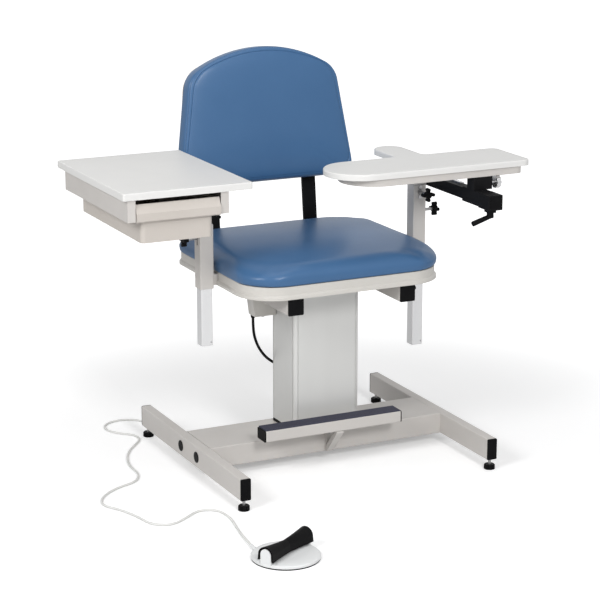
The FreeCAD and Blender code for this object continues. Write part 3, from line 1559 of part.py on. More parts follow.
def nodes():
    return {
        "rail_left": mirrored(rail()),
        "rail_right": rail(),
        "crossbeam": cut_footrest_bolts(crossbeam()),
        "base_caps": end_caps() + hole_plugs() + footrest_plugs(),
        "base_fasteners": frame_bolts() + footrest_bolts() + foot_nuts(),
        "foot_front_left": levelling_foot(-1, -1),
        "foot_front_right": levelling_foot(1, -1),
        "foot_rear_left": levelling_foot(-1, 1),
        "foot_rear_right": levelling_foot(1, 1),
        "footrest_bar": cut_footrest_bolts(footrest_bar()),
        "footrest_grip": footrest_grip(),
        "footrest_bracket": footrest_bracket(),
        "column_base_plate": column_base_plate(),
        "column_inner_profile": column_inner_profile(),
        "column_glides": column_glides(),
        "thrust_tube": thrust_tube(),
        "spindle_nut": spindle_nut(),
        "column_outer_profile": column_outer_profile(),
        "column_wiper": column_wiper(),
        "lift_motor": lift_motor(),
        "lift_spindle": lift_spindle(),
        "seat_frame": seat_tubes() + seat_cross_tubes() + [arm_cross_tube(), seat_mount_plate()],
        "seat_tube_caps": seat_tube_caps(),
        "seat_knob": seat_knob(),
        "seat_pan": seat_pan(),
        "seat_board": seat_board(),
        "seat_cushion": seat_cushion(),
        "back_uprights": [cut_all(s, upright_bolts() + back_screws()) for s in back_uprights()],
        "back_bolts": upright_bolts() + back_screws(),
        "back_board": cut_all(back_board(), back_screws()),
        "back_cushion": back_cushion(),
        "control_box": control_box(),
        "box_fittings": box_fittings(),
        "motor_cable": motor_cable(),
        "post_sleeve_left": post_sleeve(-1),
        "post_sleeve_right": post_sleeve(1),
        "sleeve_fasteners": guide_screws() + clamp_nuts(),
        "post_tube_left": post_tube_left(),
        "post_tube_right": post_tube_right(),
        "front_knob_left": front_knob(-1),
        "front_knob_right": front_knob(1),
        "side_knob_left": side_knob(-1, left_side_knob_z),
        "side_knob_right": side_knob(1, right_side_knob_z),
        "desk_board": cut_all(desk_board(), desk_screws()),
        "drawer_channels": drawer_channels(),
        "desk_fasteners": channel_bolts() + desk_screws(),
        "drawer_tray": drawer_tray(),
        "arm_pivot": [arm_pivot_bolt(), stop_pin()],
        "arm_beam": [arm_beam(), arm_scale_strip()],
        "arm_beam_plugs": arm_beam_plugs(),
        "arm_slide_sleeve": arm_slide_sleeve(),
        "arm_block": arm_block(),
        "arm_tray": arm_tray(),
        "arm_board": arm_board(),
        "arm_wing_knob": arm_wing_knob(),
        "arm_lock_lever": arm_lock_lever(),
        "switch_base": switch_base(),
        "switch_pedal": switch_pedal(),
        "cord_glands": [switch_gland(), entry_gland()],
        "switch_cord": switch_cord(),
    }


os.makedirs("parts", exist_ok=True)
for name, made in nodes().items():
    solids = made if isinstance(made, list) else [made]
    solids = [s for shape in solids for s in shape.Solids]
    if not all(s.isValid() and s.Volume > 0 for s in solids):
        print("check", name)
    whole = solids[0] if len(solids) == 1 else Part.makeCompound(solids)
    whole.exportStep("parts/" + name + ".step")
    box = whole.BoundBox
    print(name, len(solids), round(whole.Volume / 1000), [round(v, 1) for v in (
        box.XMin, box.YMin, box.ZMin, box.XMax, box.YMax, box.ZMax)])
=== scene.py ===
import collections
import math
import bpy
from mathutils import Matrix, Vector


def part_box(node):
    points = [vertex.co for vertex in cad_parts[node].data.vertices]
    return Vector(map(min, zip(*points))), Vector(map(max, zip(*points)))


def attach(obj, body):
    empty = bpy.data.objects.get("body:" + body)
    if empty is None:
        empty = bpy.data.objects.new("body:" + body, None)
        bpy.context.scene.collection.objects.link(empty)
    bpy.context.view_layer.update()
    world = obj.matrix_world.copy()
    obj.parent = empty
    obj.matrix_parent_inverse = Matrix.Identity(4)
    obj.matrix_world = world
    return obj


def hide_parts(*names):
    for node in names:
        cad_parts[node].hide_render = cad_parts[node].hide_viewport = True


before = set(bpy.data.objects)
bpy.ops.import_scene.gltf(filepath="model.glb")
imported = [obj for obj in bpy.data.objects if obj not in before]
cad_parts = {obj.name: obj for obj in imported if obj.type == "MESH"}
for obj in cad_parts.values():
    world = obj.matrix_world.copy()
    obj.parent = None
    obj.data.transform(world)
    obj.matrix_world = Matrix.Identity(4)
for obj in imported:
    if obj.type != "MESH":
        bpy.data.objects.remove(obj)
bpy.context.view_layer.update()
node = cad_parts


# Camera
# It stands in front of the chair on the drawer's side, a little above the arm boards, with the
# long lens that the photograph's faint perspective shows.

camera_place = (-2.3435, -4.7518, 1.8323)
camera_tilt = math.radians(75.1139)
camera_turn = math.radians(-25.8148)
bpy.ops.object.camera_add(location=camera_place, rotation=(camera_tilt, 0, camera_turn))
camera = bpy.context.object
camera.data.lens = 124.19
camera.data.sensor_width = 36
camera.data.clip_end = 100
bpy.context.scene.camera = camera


# Foot switch cord
# A 6 mm round cord with a white PVC sheath. It leaves the foot switch through a tapered relief,
# lies on the floor in loose bends, and goes into a gland in the rear of the crossbeam.

def surface_grain():
    """Fine grain and broad patches for any moulded, painted or plated surface."""
    group = bpy.data.node_groups.new("surface_grain", "ShaderNodeTree")
    face = group.interface
    face.new_socket("Vector", in_out="INPUT", socket_type="NodeSocketVector")
    for label, value in (("Grain Scale", 900), ("Patch Scale", 9), ("Grain Share", 0.5)):
        socket = face.new_socket(label, in_out="INPUT", socket_type="NodeSocketFloat")
        socket.default_value = value
    face.new_socket("Height", in_out="OUTPUT", socket_type="NodeSocketFloat")
    face.new_socket("Patch", in_out="OUTPUT", socket_type="NodeSocketFloat")
    tree, link = group.nodes, group.links.new
    inlet = tree.new("NodeGroupInput")
    outlet = tree.new("NodeGroupOutput")
    grain = tree.new("ShaderNodeTexNoise")
    grain.inputs["Detail"].default_value = 2
    patch = tree.new("ShaderNodeTexNoise")
    patch.inputs["Detail"].default_value = 5
    patch.inputs["Roughness"].default_value = 0.6
    spread = tree.new("ShaderNodeMapRange")
    spread.inputs["From Min"].default_value = 0.3
    spread.inputs["From Max"].default_value = 0.7
    blend = tree.new("ShaderNodeMix")
    link(inlet.outputs["Vector"], grain.inputs["Vector"])
    link(inlet.outputs["Vector"], patch.inputs["Vector"])
    link(inlet.outputs["Grain Scale"], grain.inputs["Scale"])
    link(inlet.outputs["Patch Scale"], patch.inputs["Scale"])
    link(inlet.outputs["Grain Share"], blend.inputs["Factor"])
    link(patch.outputs["Fac"], blend.inputs["A"])
    link(grain.outputs["Fac"], blend.inputs["B"])
    link(patch.outputs["Fac"], spread.inputs["Value"])
    link(blend.outputs["Result"], outlet.inputs["Height"])
    link(spread.outputs["Result"], outlet.inputs["Patch"])
    return group


grain_group = surface_grain()


def finish(name, colour, second, rough, grain=900, patch=9, depth=0.00004, share=0.5,
           stretch=(1, 1, 1), rounding=0.0006, metallic=0.0, specular=0.5, coat=0.0):
    """A surface whose colour and gloss drift in patches, with its own grain and softened edges."""
    material = bpy.data.materials.new(name)
    material.use_nodes = True
    tree, link = material.node_tree.nodes, material.node_tree.links.new
    shader = tree["Principled BSDF"]
    shader.inputs["Metallic"].default_value = metallic
    shader.inputs["Specular IOR Level"].default_value = specular
    shader.inputs["Coat Weight"].default_value = coat
    shader.inputs["Coat Roughness"].default_value = 0.15
    place = tree.new("ShaderNodeTexCoord")
    scale = tree.new("ShaderNodeMapping")
    scale.inputs["Scale"].default_value = stretch
    surface = tree.new("ShaderNodeGroup")
    surface.node_tree = grain_group
    surface.inputs["Grain Scale"].default_value = grain
    surface.inputs["Patch Scale"].default_value = patch
    surface.inputs["Grain Share"].default_value = share
    tint = tree.new("ShaderNodeMix")
    tint.data_type = "RGBA"
    tint.inputs["A"].default_value = (*colour, 1)
    tint.inputs["B"].default_value = (*second, 1)
    gloss = tree.new("ShaderNodeMapRange")
    gloss.inputs["To Min"].default_value = rough[0]
    gloss.inputs["To Max"].default_value = rough[1]
    relief = tree.new("ShaderNodeBump")
    relief.inputs["Distance"].default_value = depth
    link(place.outputs["Object"], scale.inputs["Vector"])
    link(scale.outputs["Vector"], surface.inputs["Vector"])
    link(surface.outputs["Patch"], tint.inputs["Factor"])
    link(surface.outputs["Patch"], gloss.inputs["Value"])
    link(surface.outputs["Height"], relief.inputs["Height"])
    link(tint.outputs["Result"], shader.inputs["Base Color"])
    link(gloss.outputs["Result"], shader.inputs["Roughness"])
    link(relief.outputs["Normal"], shader.inputs["Normal"])
    if rounding:
        edge = tree.new("ShaderNodeBevel")
        edge.samples = 4
        edge.inputs["Radius"].default_value = rounding
        link(edge.outputs["Normal"], relief.inputs["Normal"])
    return material


def dress(names, material):
    """Gives one finish to whole CAD nodes."""
    for name in names:
        node[name].data.materials.clear()
        node[name].data.materials.append(material)


cord_route = [
    (-0.4448, -0.5627, 0.0070), (-0.4415, -0.5309, 0.0070),
    (-0.432, -0.470, 0.0032), (-0.421, -0.416, 0.0032), (-0.410, -0.357, 0.0032),
    (-0.418, -0.299, 0.0032), (-0.462, -0.281, 0.0032), (-0.506, -0.314, 0.0032),
    (-0.559, -0.348, 0.0032), (-0.604, -0.322, 0.0032), (-0.613, -0.262, 0.0032),
    (-0.634, -0.196, 0.0032), (-0.668, -0.142, 0.0032), (-0.641, -0.084, 0.0032),
    (-0.586, -0.041, 0.0032), (-0.524, -0.020, 0.0032), (-0.496, 0.030, 0.0032),
    (-0.497, 0.098, 0.0032), (-0.479, 0.166, 0.0032), (-0.447, 0.224, 0.0032),
    (-0.411, 0.265, 0.0032), (-0.388, 0.297, 0.0032), (-0.390, 0.335, 0.0032),
    (-0.420, 0.362, 0.0032), (-0.443, 0.396, 0.0032), (-0.444, 0.436, 0.0032),
    (-0.418, 0.467, 0.0032), (-0.376, 0.478, 0.0032), (-0.337, 0.457, 0.0032),
    (-0.311, 0.413, 0.0032), (-0.299, 0.356, 0.0032), (-0.295, 0.297, 0.0032),
    (-0.300, 0.240, 0.0032),
    (-0.296, 0.192, 0.0110), (-0.296, 0.140, 0.0480), (-0.296, 0.104, 0.0480),
]


def sheathed(name, route, radius, material):
    """A round cord whose centreline is drawn by the route's control points."""
    line = bpy.data.curves.new(name, "CURVE")
    line.dimensions = "3D"
    line.bevel_depth = radius
    line.bevel_resolution = 6
    line.use_fill_caps = True
    line.resolution_u = 10
    spline = line.splines.new("NURBS")
    spline.points.add(len(route) - 1)
    for point, place in zip(spline.points, route):
        point.co = (*place, 1)
    spline.order_u = 3
    spline.use_endpoint_u = True
    cord = bpy.data.objects.new(name, line)
    bpy.context.scene.collection.objects.link(cord)
    line.materials.append(material)
    return cord


sheath = finish("cord_sheath", (0.72, 0.72, 0.70), (0.66, 0.66, 0.64), (0.38, 0.5), grain=700,
                patch=14, depth=0.00003, rounding=0)
cord_radius = 0.003
switch_cord = sheathed("foot_switch_cord", cord_route, cord_radius, sheath)
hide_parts("switch_cord")
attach(switch_cord, "base")


# Floor rails and crossbeam
# Steel box tube, 28 by 57 mm for the rails and a wide shallow box for the crossbeam, bolted
# through the rails' sides. All of it has a warm light grey powder coat with a fine orange peel.

coat_grey = finish("light_grey_powder_coat", (0.565, 0.54, 0.515), (0.535, 0.51, 0.485), (0.36, 0.46),
                   grain=650, patch=5, depth=0.00006, share=0.75, rounding=0.0012)
dress(["rail_left", "rail_right", "crossbeam"], coat_grey)


# End caps and hole plugs
# Push-in caps of black polyethylene close the rails, the foot rest bar and the bolts' access
# holes. They have a fine spark-eroded texture and soft corners.

nylon_black = finish("black_moulding", (0.004, 0.004, 0.0045), (0.007, 0.007, 0.0075), (0.34, 0.5),
                     grain=1400, patch=20, depth=0.00005, share=0.8, rounding=0.0012, specular=0.06)
dress(["base_caps", "seat_tube_caps", "arm_beam_plugs", "column_wiper"], nylon_black)


# Screws and nuts
# Zinc plated steel with a lightly brushed, slightly blotched face.

zinc = finish("zinc_plate", (0.46, 0.46, 0.47), (0.36, 0.355, 0.35), (0.24, 0.42), grain=1100,
              patch=60, depth=0.00003, metallic=1.0, rounding=0.0005)
dress(["base_fasteners", "back_bolts", "sleeve_fasteners", "desk_fasteners", "arm_pivot",
       "thrust_tube", "lift_spindle"], zinc)


# Levelling feet
# Each is a black fluted glide moulded on a zinc plated stud that screws up into the rail, with
# a lock nut against the rail's underside.

foot_height = 0.013
hair = 0.0001  # a face on the line itself keeps the first finish


def two_finishes(name, first, second, is_second):
    """A CAD node whose faces take one of two finishes, by their place."""
    dress([name], first)
    mesh = node[name].data
    mesh.materials.append(second)
    for face in mesh.polygons:
        if is_second(face.center):
            face.material_index = 1


for foot in ("foot_front_left", "foot_front_right", "foot_rear_left", "foot_rear_right"):
    two_finishes(foot, nylon_black, zinc, lambda place: place.z > foot_height + hair)


# Foot rest
# A box tube on a bent strap bracket, painted as the base is, with a ribbed dark rubber grip
# bonded on its top.

grip_rubber = finish("ribbed_rubber", (0.020, 0.021, 0.045), (0.034, 0.035, 0.062), (0.55, 0.7),
                     grain=1200, patch=30, depth=0.00008, share=0.7, rounding=0.0004)
dress(["footrest_bar", "footrest_bracket"], coat_grey)
dress(["footrest_grip"], grip_rubber)


# Lift column
# Two aluminium extrusions, one inside the other, with a satin anodised finish whose fine die
# lines run up the profile. The base plate under them is black.

anodised = finish("satin_anodised", (0.69, 0.69, 0.675), (0.64, 0.64, 0.625), (0.34, 0.44), grain=420,
                  patch=3, depth=0.00003, share=0.6, stretch=(1, 1, 0.04), metallic=0.35,
                  rounding=0.0008)
coat_black = finish("black_powder_coat", (0.005, 0.005, 0.0055), (0.008, 0.008, 0.009), (0.38, 0.5),
                    grain=800, patch=12, depth=0.00005, share=0.75, rounding=0.0008, specular=0.09)
glide_white = finish("white_acetal", (0.78, 0.78, 0.75), (0.70, 0.70, 0.67), (0.4, 0.5), grain=900,
                     patch=12, rounding=0.0004)
dress(["column_outer_profile", "column_inner_profile"], anodised)
dress(["column_base_plate", "lift_motor"], coat_black)
dress(["column_glides", "spindle_nut"], glide_white)


# Seat frame
# Two square tubes run under the seat from front to back, and thinner cross tubes lie on them
# and reach out to the arm posts. They are welded and painted as the base is.

dress(["seat_frame", "post_sleeve_left", "post_sleeve_right"], coat_grey)


# Seat shell
# A moulded light grey tray with a flared lip under the cushion. Its side narrows above the lip
# and rises straight to the cushion's edge.

moulded_grey = finish("light_grey_moulding", (0.575, 0.555, 0.52), (0.545, 0.525, 0.49), (0.28, 0.38),
                      grain=1100, patch=6, depth=0.00004, share=0.6, rounding=0.0008, coat=0.3)
dress(["seat_pan"], moulded_grey)


# Seat cushion
# Foam on a plywood board under smooth blue vinyl, pulled over the front and stapled below, so
# its sides are full and its top is crowned.

def upholstery(name, colour, second):
    """Coated vinyl: a fine hide grain, faint stretch ripples, and a soft sheen."""
    material = bpy.data.materials.new(name)
    material.use_nodes = True
    tree, link = material.node_tree.nodes, material.node_tree.links.new
    shader = tree["Principled BSDF"]
    shader.inputs["Specular IOR Level"].default_value = 0.34
    shader.inputs["Sheen Weight"].default_value = 0.02
    shader.inputs["Sheen Roughness"].default_value = 0.4
    place = tree.new("ShaderNodeTexCoord")
    cells = tree.new("ShaderNodeTexVoronoi")
    cells.feature = "SMOOTH_F1"
    cells.inputs["Scale"].default_value = 620
    cells.inputs["Smoothness"].default_value = 0.6
    surface = tree.new("ShaderNodeGroup")
    surface.node_tree = grain_group
    surface.inputs["Grain Scale"].default_value = 260
    surface.inputs["Patch Scale"].default_value = 5
    surface.inputs["Grain Share"].default_value = 0.6
    ripple = tree.new("ShaderNodeTexNoise")
    ripple.inputs["Scale"].default_value = 7
    ripple.inputs["Detail"].default_value = 2
    tint = tree.new("ShaderNodeMix")
    tint.data_type = "RGBA"
    tint.inputs["A"].default_value = (*colour, 1)
    tint.inputs["B"].default_value = (*second, 1)
    gloss = tree.new("ShaderNodeMapRange")
    gloss.inputs["To Min"].default_value = 0.28
    gloss.inputs["To Max"].default_value = 0.37
    hide = tree.new("ShaderNodeBump")
    hide.inputs["Strength"].default_value = 0.25
    hide.inputs["Distance"].default_value = 0.00015
    broad = tree.new("ShaderNodeBump")
    broad.inputs["Strength"].default_value = 0.15
    broad.inputs["Distance"].default_value = 0.003
    for texture in (cells, surface, ripple):
        link(place.outputs["Object"], texture.inputs["Vector"])
    link(ripple.outputs["Fac"], broad.inputs["Height"])
    link(broad.outputs["Normal"], hide.inputs["Normal"])
    link(cells.outputs["Distance"], hide.inputs["Height"])
    link(surface.outputs["Patch"], tint.inputs["Factor"])
    link(surface.outputs["Height"], gloss.inputs["Value"])
    link(tint.outputs["Result"], shader.inputs["Base Color"])
    link(gloss.outputs["Result"], shader.inputs["Roughness"])
    link(hide.outputs["Normal"], shader.inputs["Normal"])
    return material


blue_vinyl = upholstery("blue_vinyl", (0.045, 0.120, 0.252), (0.051, 0.131, 0.270))


def only(obj):
    """Makes obj the single selected and active object, in object mode."""
    if bpy.context.object and bpy.context.object.mode == "EDIT":
        bpy.ops.object.mode_set(mode="OBJECT")
    bpy.ops.object.select_all(action="DESELECT")
    obj.select_set(True)
    bpy.context.view_layer.objects.active = obj


cloth_steps = 15


def plump(pad, pressure, limit, held, passes, finer):
    """Swells a pad as a cloth skin: held points stay, and none moves past limit. Then evens it."""
    only(pad)
    soft = pad.vertex_groups.new(name="soft")
    soft.add([v.index for v in pad.data.vertices if not held(v.co)], 1.0, "REPLACE")
    before = [v.co.copy() for v in pad.data.vertices]
    fixed = pad.vertex_groups.new(name="held")
    fixed.add([v.index for v in pad.data.vertices if held(v.co)], 1.0, "REPLACE")
    skin = pad.modifiers.new("skin", "CLOTH")
    skin.settings.quality = 5
    skin.settings.tension_stiffness = 15
    skin.settings.compression_stiffness = 15
    skin.settings.bending_stiffness = 2
    skin.settings.use_pressure = True
    skin.settings.uniform_pressure_force = pressure
    skin.settings.vertex_group_mass = "held"
    skin.settings.effector_weights.gravity = 0
    skin.collision_settings.use_collision = False
    for step in range(1, cloth_steps + 1):
        bpy.context.scene.frame_set(step)
    bpy.ops.object.modifier_apply(modifier="skin")
    for vertex, start in zip(pad.data.vertices, before):
        move = vertex.co - start
        if move.length > limit:
            vertex.co = start + move * (limit / move.length)
    bpy.context.scene.frame_set(1)
    even = pad.modifiers.new("even", "SMOOTH")
    even.vertex_group = "soft"
    even.iterations = passes
    bpy.ops.object.modifier_apply(modifier="even")
    pad.vertex_groups.clear()
    round_off = pad.modifiers.new("round_off", "SUBSURF")
    round_off.levels = round_off.render_levels = finer
    bpy.ops.object.modifier_apply(modifier="round_off")
    bpy.ops.object.shade_smooth()


seat_low, seat_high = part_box("seat_cushion")
seat_mid = (seat_low + seat_high) / 2
seat_size = seat_high - seat_low
front_corner = 0.103
rear_corner = 0.060
side_lift = 0.07
side_bow = 0.003
corner_drop = 0.36
stapled_height = 0.004
seat_voxel = 0.006


def seat_edge(inset, steps=10):
    """The seat cushion's outline from above, as (x, y) points, drawn in by inset."""
    half_x, half_y = seat_size.x / 2 - inset, seat_size.y / 2 - inset
    points = []
    corners = ((1, -1, front_corner, -90), (1, 1, rear_corner, 0),
               (-1, 1, rear_corner, 90), (-1, -1, front_corner, 180))
    for side, end, radius, start in corners:
        round_off = radius + inset
        for i in range(steps + 1):
            turn = math.radians(start + 90 * i / steps)
            points.append((seat_mid.x + side * (half_x - round_off) + round_off * math.cos(turn),
                           seat_mid.y + end * (half_y - round_off) + round_off * math.sin(turn)))
    return points


# The side is fullest a third of the way up and rolls over into the crown. Each pair is the height
# over the shell and how far the outline is in.
pad_levels = [(0.0, 0.006), (0.004, 0.002), (0.012, -0.001), (0.021, -0.002), (0.030, -0.0005),
              (0.0375, 0.004), (0.0436, 0.011), (0.0478, 0.021), (0.0502, 0.035), (0.0516, 0.055)]
crown_shares = [(0.0542, 0.84), (0.0562, 0.68), (0.0576, 0.50), (0.0584, 0.30)]
pad_rings = []
for height, inset in pad_levels:
    pad_rings.append([Vector((x, y, seat_low.z + height)) for x, y in seat_edge(inset)])
top_ring = pad_rings[-1]
for height, share in crown_shares:
    pad_rings.append([Vector((seat_mid.x + (p.x - seat_mid.x) * share,
                              seat_mid.y + (p.y - seat_mid.y) * share,
                              seat_low.z + height)) for p in top_ring])

# The sides are lifted and bowed out between the corners, and the corners drop.
for ring in pad_rings:
    for p in ring:
        across = (p.x - seat_mid.x) / seat_size.x * 2
        along = (p.y - seat_mid.y) / seat_size.y * 2
        middle = max(0.0, 1 - along ** 2)
        p.z += (p.z - seat_low.z) * (side_lift * across ** 2 * middle
                                     - corner_drop * abs(across * along) ** 3)
        p.x += across * side_bow * middle


def between(rings):
    """The faces that join each ring of points to the next."""
    count = len(rings[0])
    faces = []
    for level in range(len(rings) - 1):
        here, above = level * count, (level + 1) * count
        for i in range(count):
            j = (i + 1) % count
            faces.append((here + i, above + i, above + j, here + j))
    return faces


def covering(name, points, faces, merge=None):
    """A closed cover whose faces point outwards, left selected and in object mode."""
    mesh = bpy.data.meshes.new(name)
    mesh.from_pydata([tuple(p) for p in points], [], faces)
    pad = bpy.data.objects.new(name, mesh)
    bpy.context.scene.collection.objects.link(pad)
    only(pad)
    bpy.ops.object.mode_set(mode="EDIT")
    bpy.ops.mesh.select_all(action="SELECT")
    if merge:
        bpy.ops.mesh.remove_doubles(threshold=merge)
    bpy.ops.mesh.normals_make_consistent(inside=False)
    bpy.ops.object.mode_set(mode="OBJECT")
    return pad


count = len(pad_rings[0])
last = (len(pad_rings) - 1) * count
faces = [tuple(range(count)), tuple(range(last, last + count))] + between(pad_rings)
seat_pad = covering("seat_cushion_cover", [p for ring in pad_rings for p in ring], faces)
seat_pad.data.remesh_voxel_size = seat_voxel
bpy.ops.object.voxel_remesh()
plump(seat_pad, pressure=3.0, limit=0.003,
      held=lambda co: co.z < seat_low.z + stapled_height, passes=20, finer=1)
seat_pad.data.materials.clear()
seat_pad.data.materials.append(blue_vinyl)
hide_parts("seat_cushion")
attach(seat_pad, "seat")


# Seat board and back board
# Birch plywood behind the foam, seen only from below and behind as a plain sanded face.

plywood = finish("birch_ply", (0.50, 0.37, 0.22), (0.42, 0.29, 0.16), (0.55, 0.7), grain=160, patch=8,
                 depth=0.0001, stretch=(1, 9, 1), rounding=0.0005)
dress(["seat_board", "back_board"], plywood)


# Back cushion
# The same foam and vinyl on the back board. A front panel is sewn to the border with a seam, and
# a row of stitches runs inside it. Both fade at the bottom, where the panel is pulled under.

back_lean = math.radians(6.4)
back_pivot = Vector((0, 0.324, 0.505))
lean = (Matrix.Translation(back_pivot) @ Matrix.Rotation(-back_lean, 4, "X")
        @ Matrix.Translation(-back_pivot))
back_bottom = 0.686
back_height = 0.368
back_rear = 0.314
half_low = 0.258
half_high = 0.225
arch_rise = 0.060
low_corner = 0.036
high_corner = 0.068
corner_growth = 0.6
side_turn = 6
shoulder_turn = 64
shoulder_drop = 0.76
back_middle = Vector((0, back_rear, back_bottom + back_height * 0.45))


def back_edge(inset, steps=14):
    """The back's outline from the front, as (x, z) points, drawn in by inset."""
    low, high = half_low - inset, half_high - inset
    bottom = back_bottom + inset
    shoulder = back_bottom + back_height - arch_rise
    top = back_bottom + back_height - inset
    corner_low = low_corner + inset * corner_growth
    corner_high = high_corner + inset * corner_growth
    high_centre = shoulder - corner_high * shoulder_drop
    points = []
    for i in range(steps + 1):
        turn = math.radians(-90 + (90 - side_turn) * i / steps)
        points.append((low - corner_low + corner_low * math.cos(turn),
                       bottom + corner_low + corner_low * math.sin(turn)))
    start_x, start_z = points[-1]
    end_x = high - corner_high + corner_high * math.cos(math.radians(side_turn))
    end_z = high_centre + corner_high * math.sin(math.radians(side_turn))
    for i in range(1, steps):
        points.append((start_x + (end_x - start_x) * i / steps,
                       start_z + (end_z - start_z) * i / steps))
    for i in range(steps + 1):
        turn = math.radians(side_turn + (shoulder_turn - side_turn) * i / steps)
        points.append((high - corner_high + corner_high * math.cos(turn),
                       high_centre + corner_high * math.sin(turn)))
    half, rise = points[-1][0], top - points[-1][1]
    radius = (half ** 2 + rise ** 2) / (2 * rise)
    sweep = math.asin(half / radius)
    for i in range(1, 2 * steps):
        turn = sweep * (1 - i / (2 * steps))
        points.append((radius * math.sin(turn), top - radius + radius * math.cos(turn)))
    mirror = [(-x, z) for x, z in reversed(points)]
    first_x, first_z = points[0]
    bottom_run = [(-first_x + 2 * first_x * i / (2 * steps), first_z) for i in range(1, 2 * steps)]
    return points + [(0.0, top)] + mirror + bottom_run


# From the board forward: the border, the seam, a flat band, the row of stitches and the panel.
# Each pair is the depth from the board and how far the outline is in.
side_levels = [(0.0, 0.007), (0.004, 0.002), (0.012, 0.0006), (0.024, 0.0), (0.036, 0.0004),
               (0.044, 0.0010)]
seam_levels = [(0.0482, 0.0022), (0.0500, 0.0078), (0.0518, 0.0034)]
band_levels = [(0.0545, 0.0044), (0.0564, 0.0068)]
stitch_levels = [(0.0576, 0.0112), (0.0548, 0.0132), (0.0580, 0.0152)]
panel_levels = [(0.0592, 0.019), (0.0606, 0.027), (0.0615, 0.038)]
levels = side_levels + seam_levels + band_levels + stitch_levels + panel_levels
crown_levels = [(0.0623, 0.86), (0.0629, 0.72), (0.0633, 0.58), (0.0636, 0.44), (0.0638, 0.30),
                (0.0639, 0.16)]
crown_power = 14
flush_levels = {seam_levels[1]: (0.0500, 0.0028), stitch_levels[1]: (0.0578, 0.0132)}
under_height = 0.032
under_pull = 0.20


def back_ring(level):
    """One ring of points round the back, flush and rounded under where the panel is pulled under."""
    depth, inset = level
    plain_depth, plain_inset = flush_levels.get(level, level)
    ring = []
    for (x, z), (plain_x, plain_z) in zip(back_edge(inset), back_edge(plain_inset)):
        under = min(1.0, max(0.0, (back_bottom + under_height - z) / under_height))
        full = depth + (plain_depth - depth) * under
        ring.append(Vector((x + (plain_x - x) * under, back_rear - full * (1 - under_pull * under ** 2),
                            z + (plain_z - z) * under)))
    return ring


rings = [back_ring(level) for level in levels]
panel_ring = rings[-1]
for depth, share in crown_levels:
    rings.append([Vector((p.x * share,
                          back_rear - depth + (p.y - back_rear + levels[-1][0]) * share ** crown_power,
                          back_middle.z + (p.z - back_middle.z) * share)) for p in panel_ring])
count = len(rings[0])
last = (len(rings) - 1) * count
points = [lean @ p for ring in rings for p in ring]
points.append(lean @ Vector((0, back_rear - crown_levels[-1][0], back_middle.z)))
faces = [tuple(range(count))] + between(rings)
faces += [(last + i, len(points) - 1, last + (i + 1) % count) for i in range(count)]
back_pad = covering("back_cushion_cover", points, faces, merge=0.00002)
unlean = lean.inverted()
stitch_reach = 0.0002
board_reach = 0.001
knots = collections.defaultdict(list)
for level in seam_levels + stitch_levels:
    for place in back_ring(level):
        for height in (place.z - stitch_reach, place.z + stitch_reach):
            knots[round(height, 2)].append(place)


def sewn(co):
    """True on the board's edge and along both rows of stitches of the back."""
    place = unlean @ co
    if place.y > back_rear - board_reach:
        return True
    return any((place - knot).length < stitch_reach for knot in knots[round(place.z, 2)])


plump(back_pad, pressure=2.0, limit=0.0012, held=sewn, passes=6, finer=2)
back_pad.data.materials.clear()
back_pad.data.materials.append(blue_vinyl)
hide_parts("back_cushion")
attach(back_pad, "seat")


# Back uprights
# Two flat steel bars with a black powder coat, bolted to the ends of the seat tubes and bent
# back a few degrees below the cushion.

dress(["back_uprights"], coat_black)


# Control box, its fittings and the motor cable
# A small moulded housing screwed under the seat tube. The black motor cable hangs from its
# gland and turns in to an elbow plug behind the column.

dress(["control_box"], moulded_grey)
dress(["box_fittings"], nylon_black)
motor_route = [
    (-0.14975, 0.06975, 0.377), (-0.14975, 0.06975, 0.353), (-0.143, 0.0765, 0.320),
    (-0.128, 0.0785, 0.284), (-0.104, 0.0785, 0.254), (-0.070, 0.0775, 0.232), (-0.040, 0.0775, 0.232),
]
rubber_black = finish("black_cable_sheath", (0.004, 0.004, 0.0045), (0.007, 0.007, 0.0075),
                      (0.42, 0.55), grain=900, patch=20, depth=0.00003, rounding=0, specular=0.08)
cable_radius = 0.00375
motor_cable = sheathed("motor_cable_sheath", motor_route, cable_radius, rubber_black)
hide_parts("motor_cable")
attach(motor_cable, "seat")


# Arm post tubes
# Square steel tube with bright chrome plate, welded to a painted head block at the top.

bright = finish("bright_plate", (0.86, 0.86, 0.86), (0.78, 0.78, 0.79), (0.12, 0.22), grain=500,
                patch=6, depth=0.00002, stretch=(1, 1, 0.1), metallic=0.9, rounding=0.0008)
left_head = 0.729
right_head = 0.7079
two_finishes("post_tube_left", bright, coat_grey, lambda place: place.z > left_head)
two_finishes("post_tube_right", bright, coat_grey, lambda place: place.z > right_head)


# Star knobs
# Black glass-filled nylon stars on zinc plated studs, which clamp the posts.

post_outer = 0.330
side_stud = 0.0299
front_stud_end = -0.0399
seat_stud_end = 0.1874
for knob, is_stud in (("side_knob_left", lambda p: p.x > -post_outer - side_stud),
                      ("side_knob_right", lambda p: p.x < post_outer + side_stud),
                      ("front_knob_left", lambda p: p.y > front_stud_end),
                      ("front_knob_right", lambda p: p.y > front_stud_end),
                      ("seat_knob", lambda p: p.x < seat_stud_end)):
    two_finishes(knob, nylon_black, zinc, is_stud)


# Desk board and channels
# Pale grey laminate on particle board with a matching edge band, screwed to two painted steel
# channels that carry the drawer.

laminate = finish("pale_grey_laminate", (0.715, 0.71, 0.695), (0.695, 0.69, 0.675), (0.42, 0.5),
                  grain=1500, patch=4, depth=0.00003, share=0.8, rounding=0.0010)
dress(["desk_board", "arm_board"], laminate)
dress(["drawer_channels", "arm_tray"], coat_grey)


# Drawer
# A deep bin vacuum formed in warm grey plastic, with a rolled lip in front for the fingers.

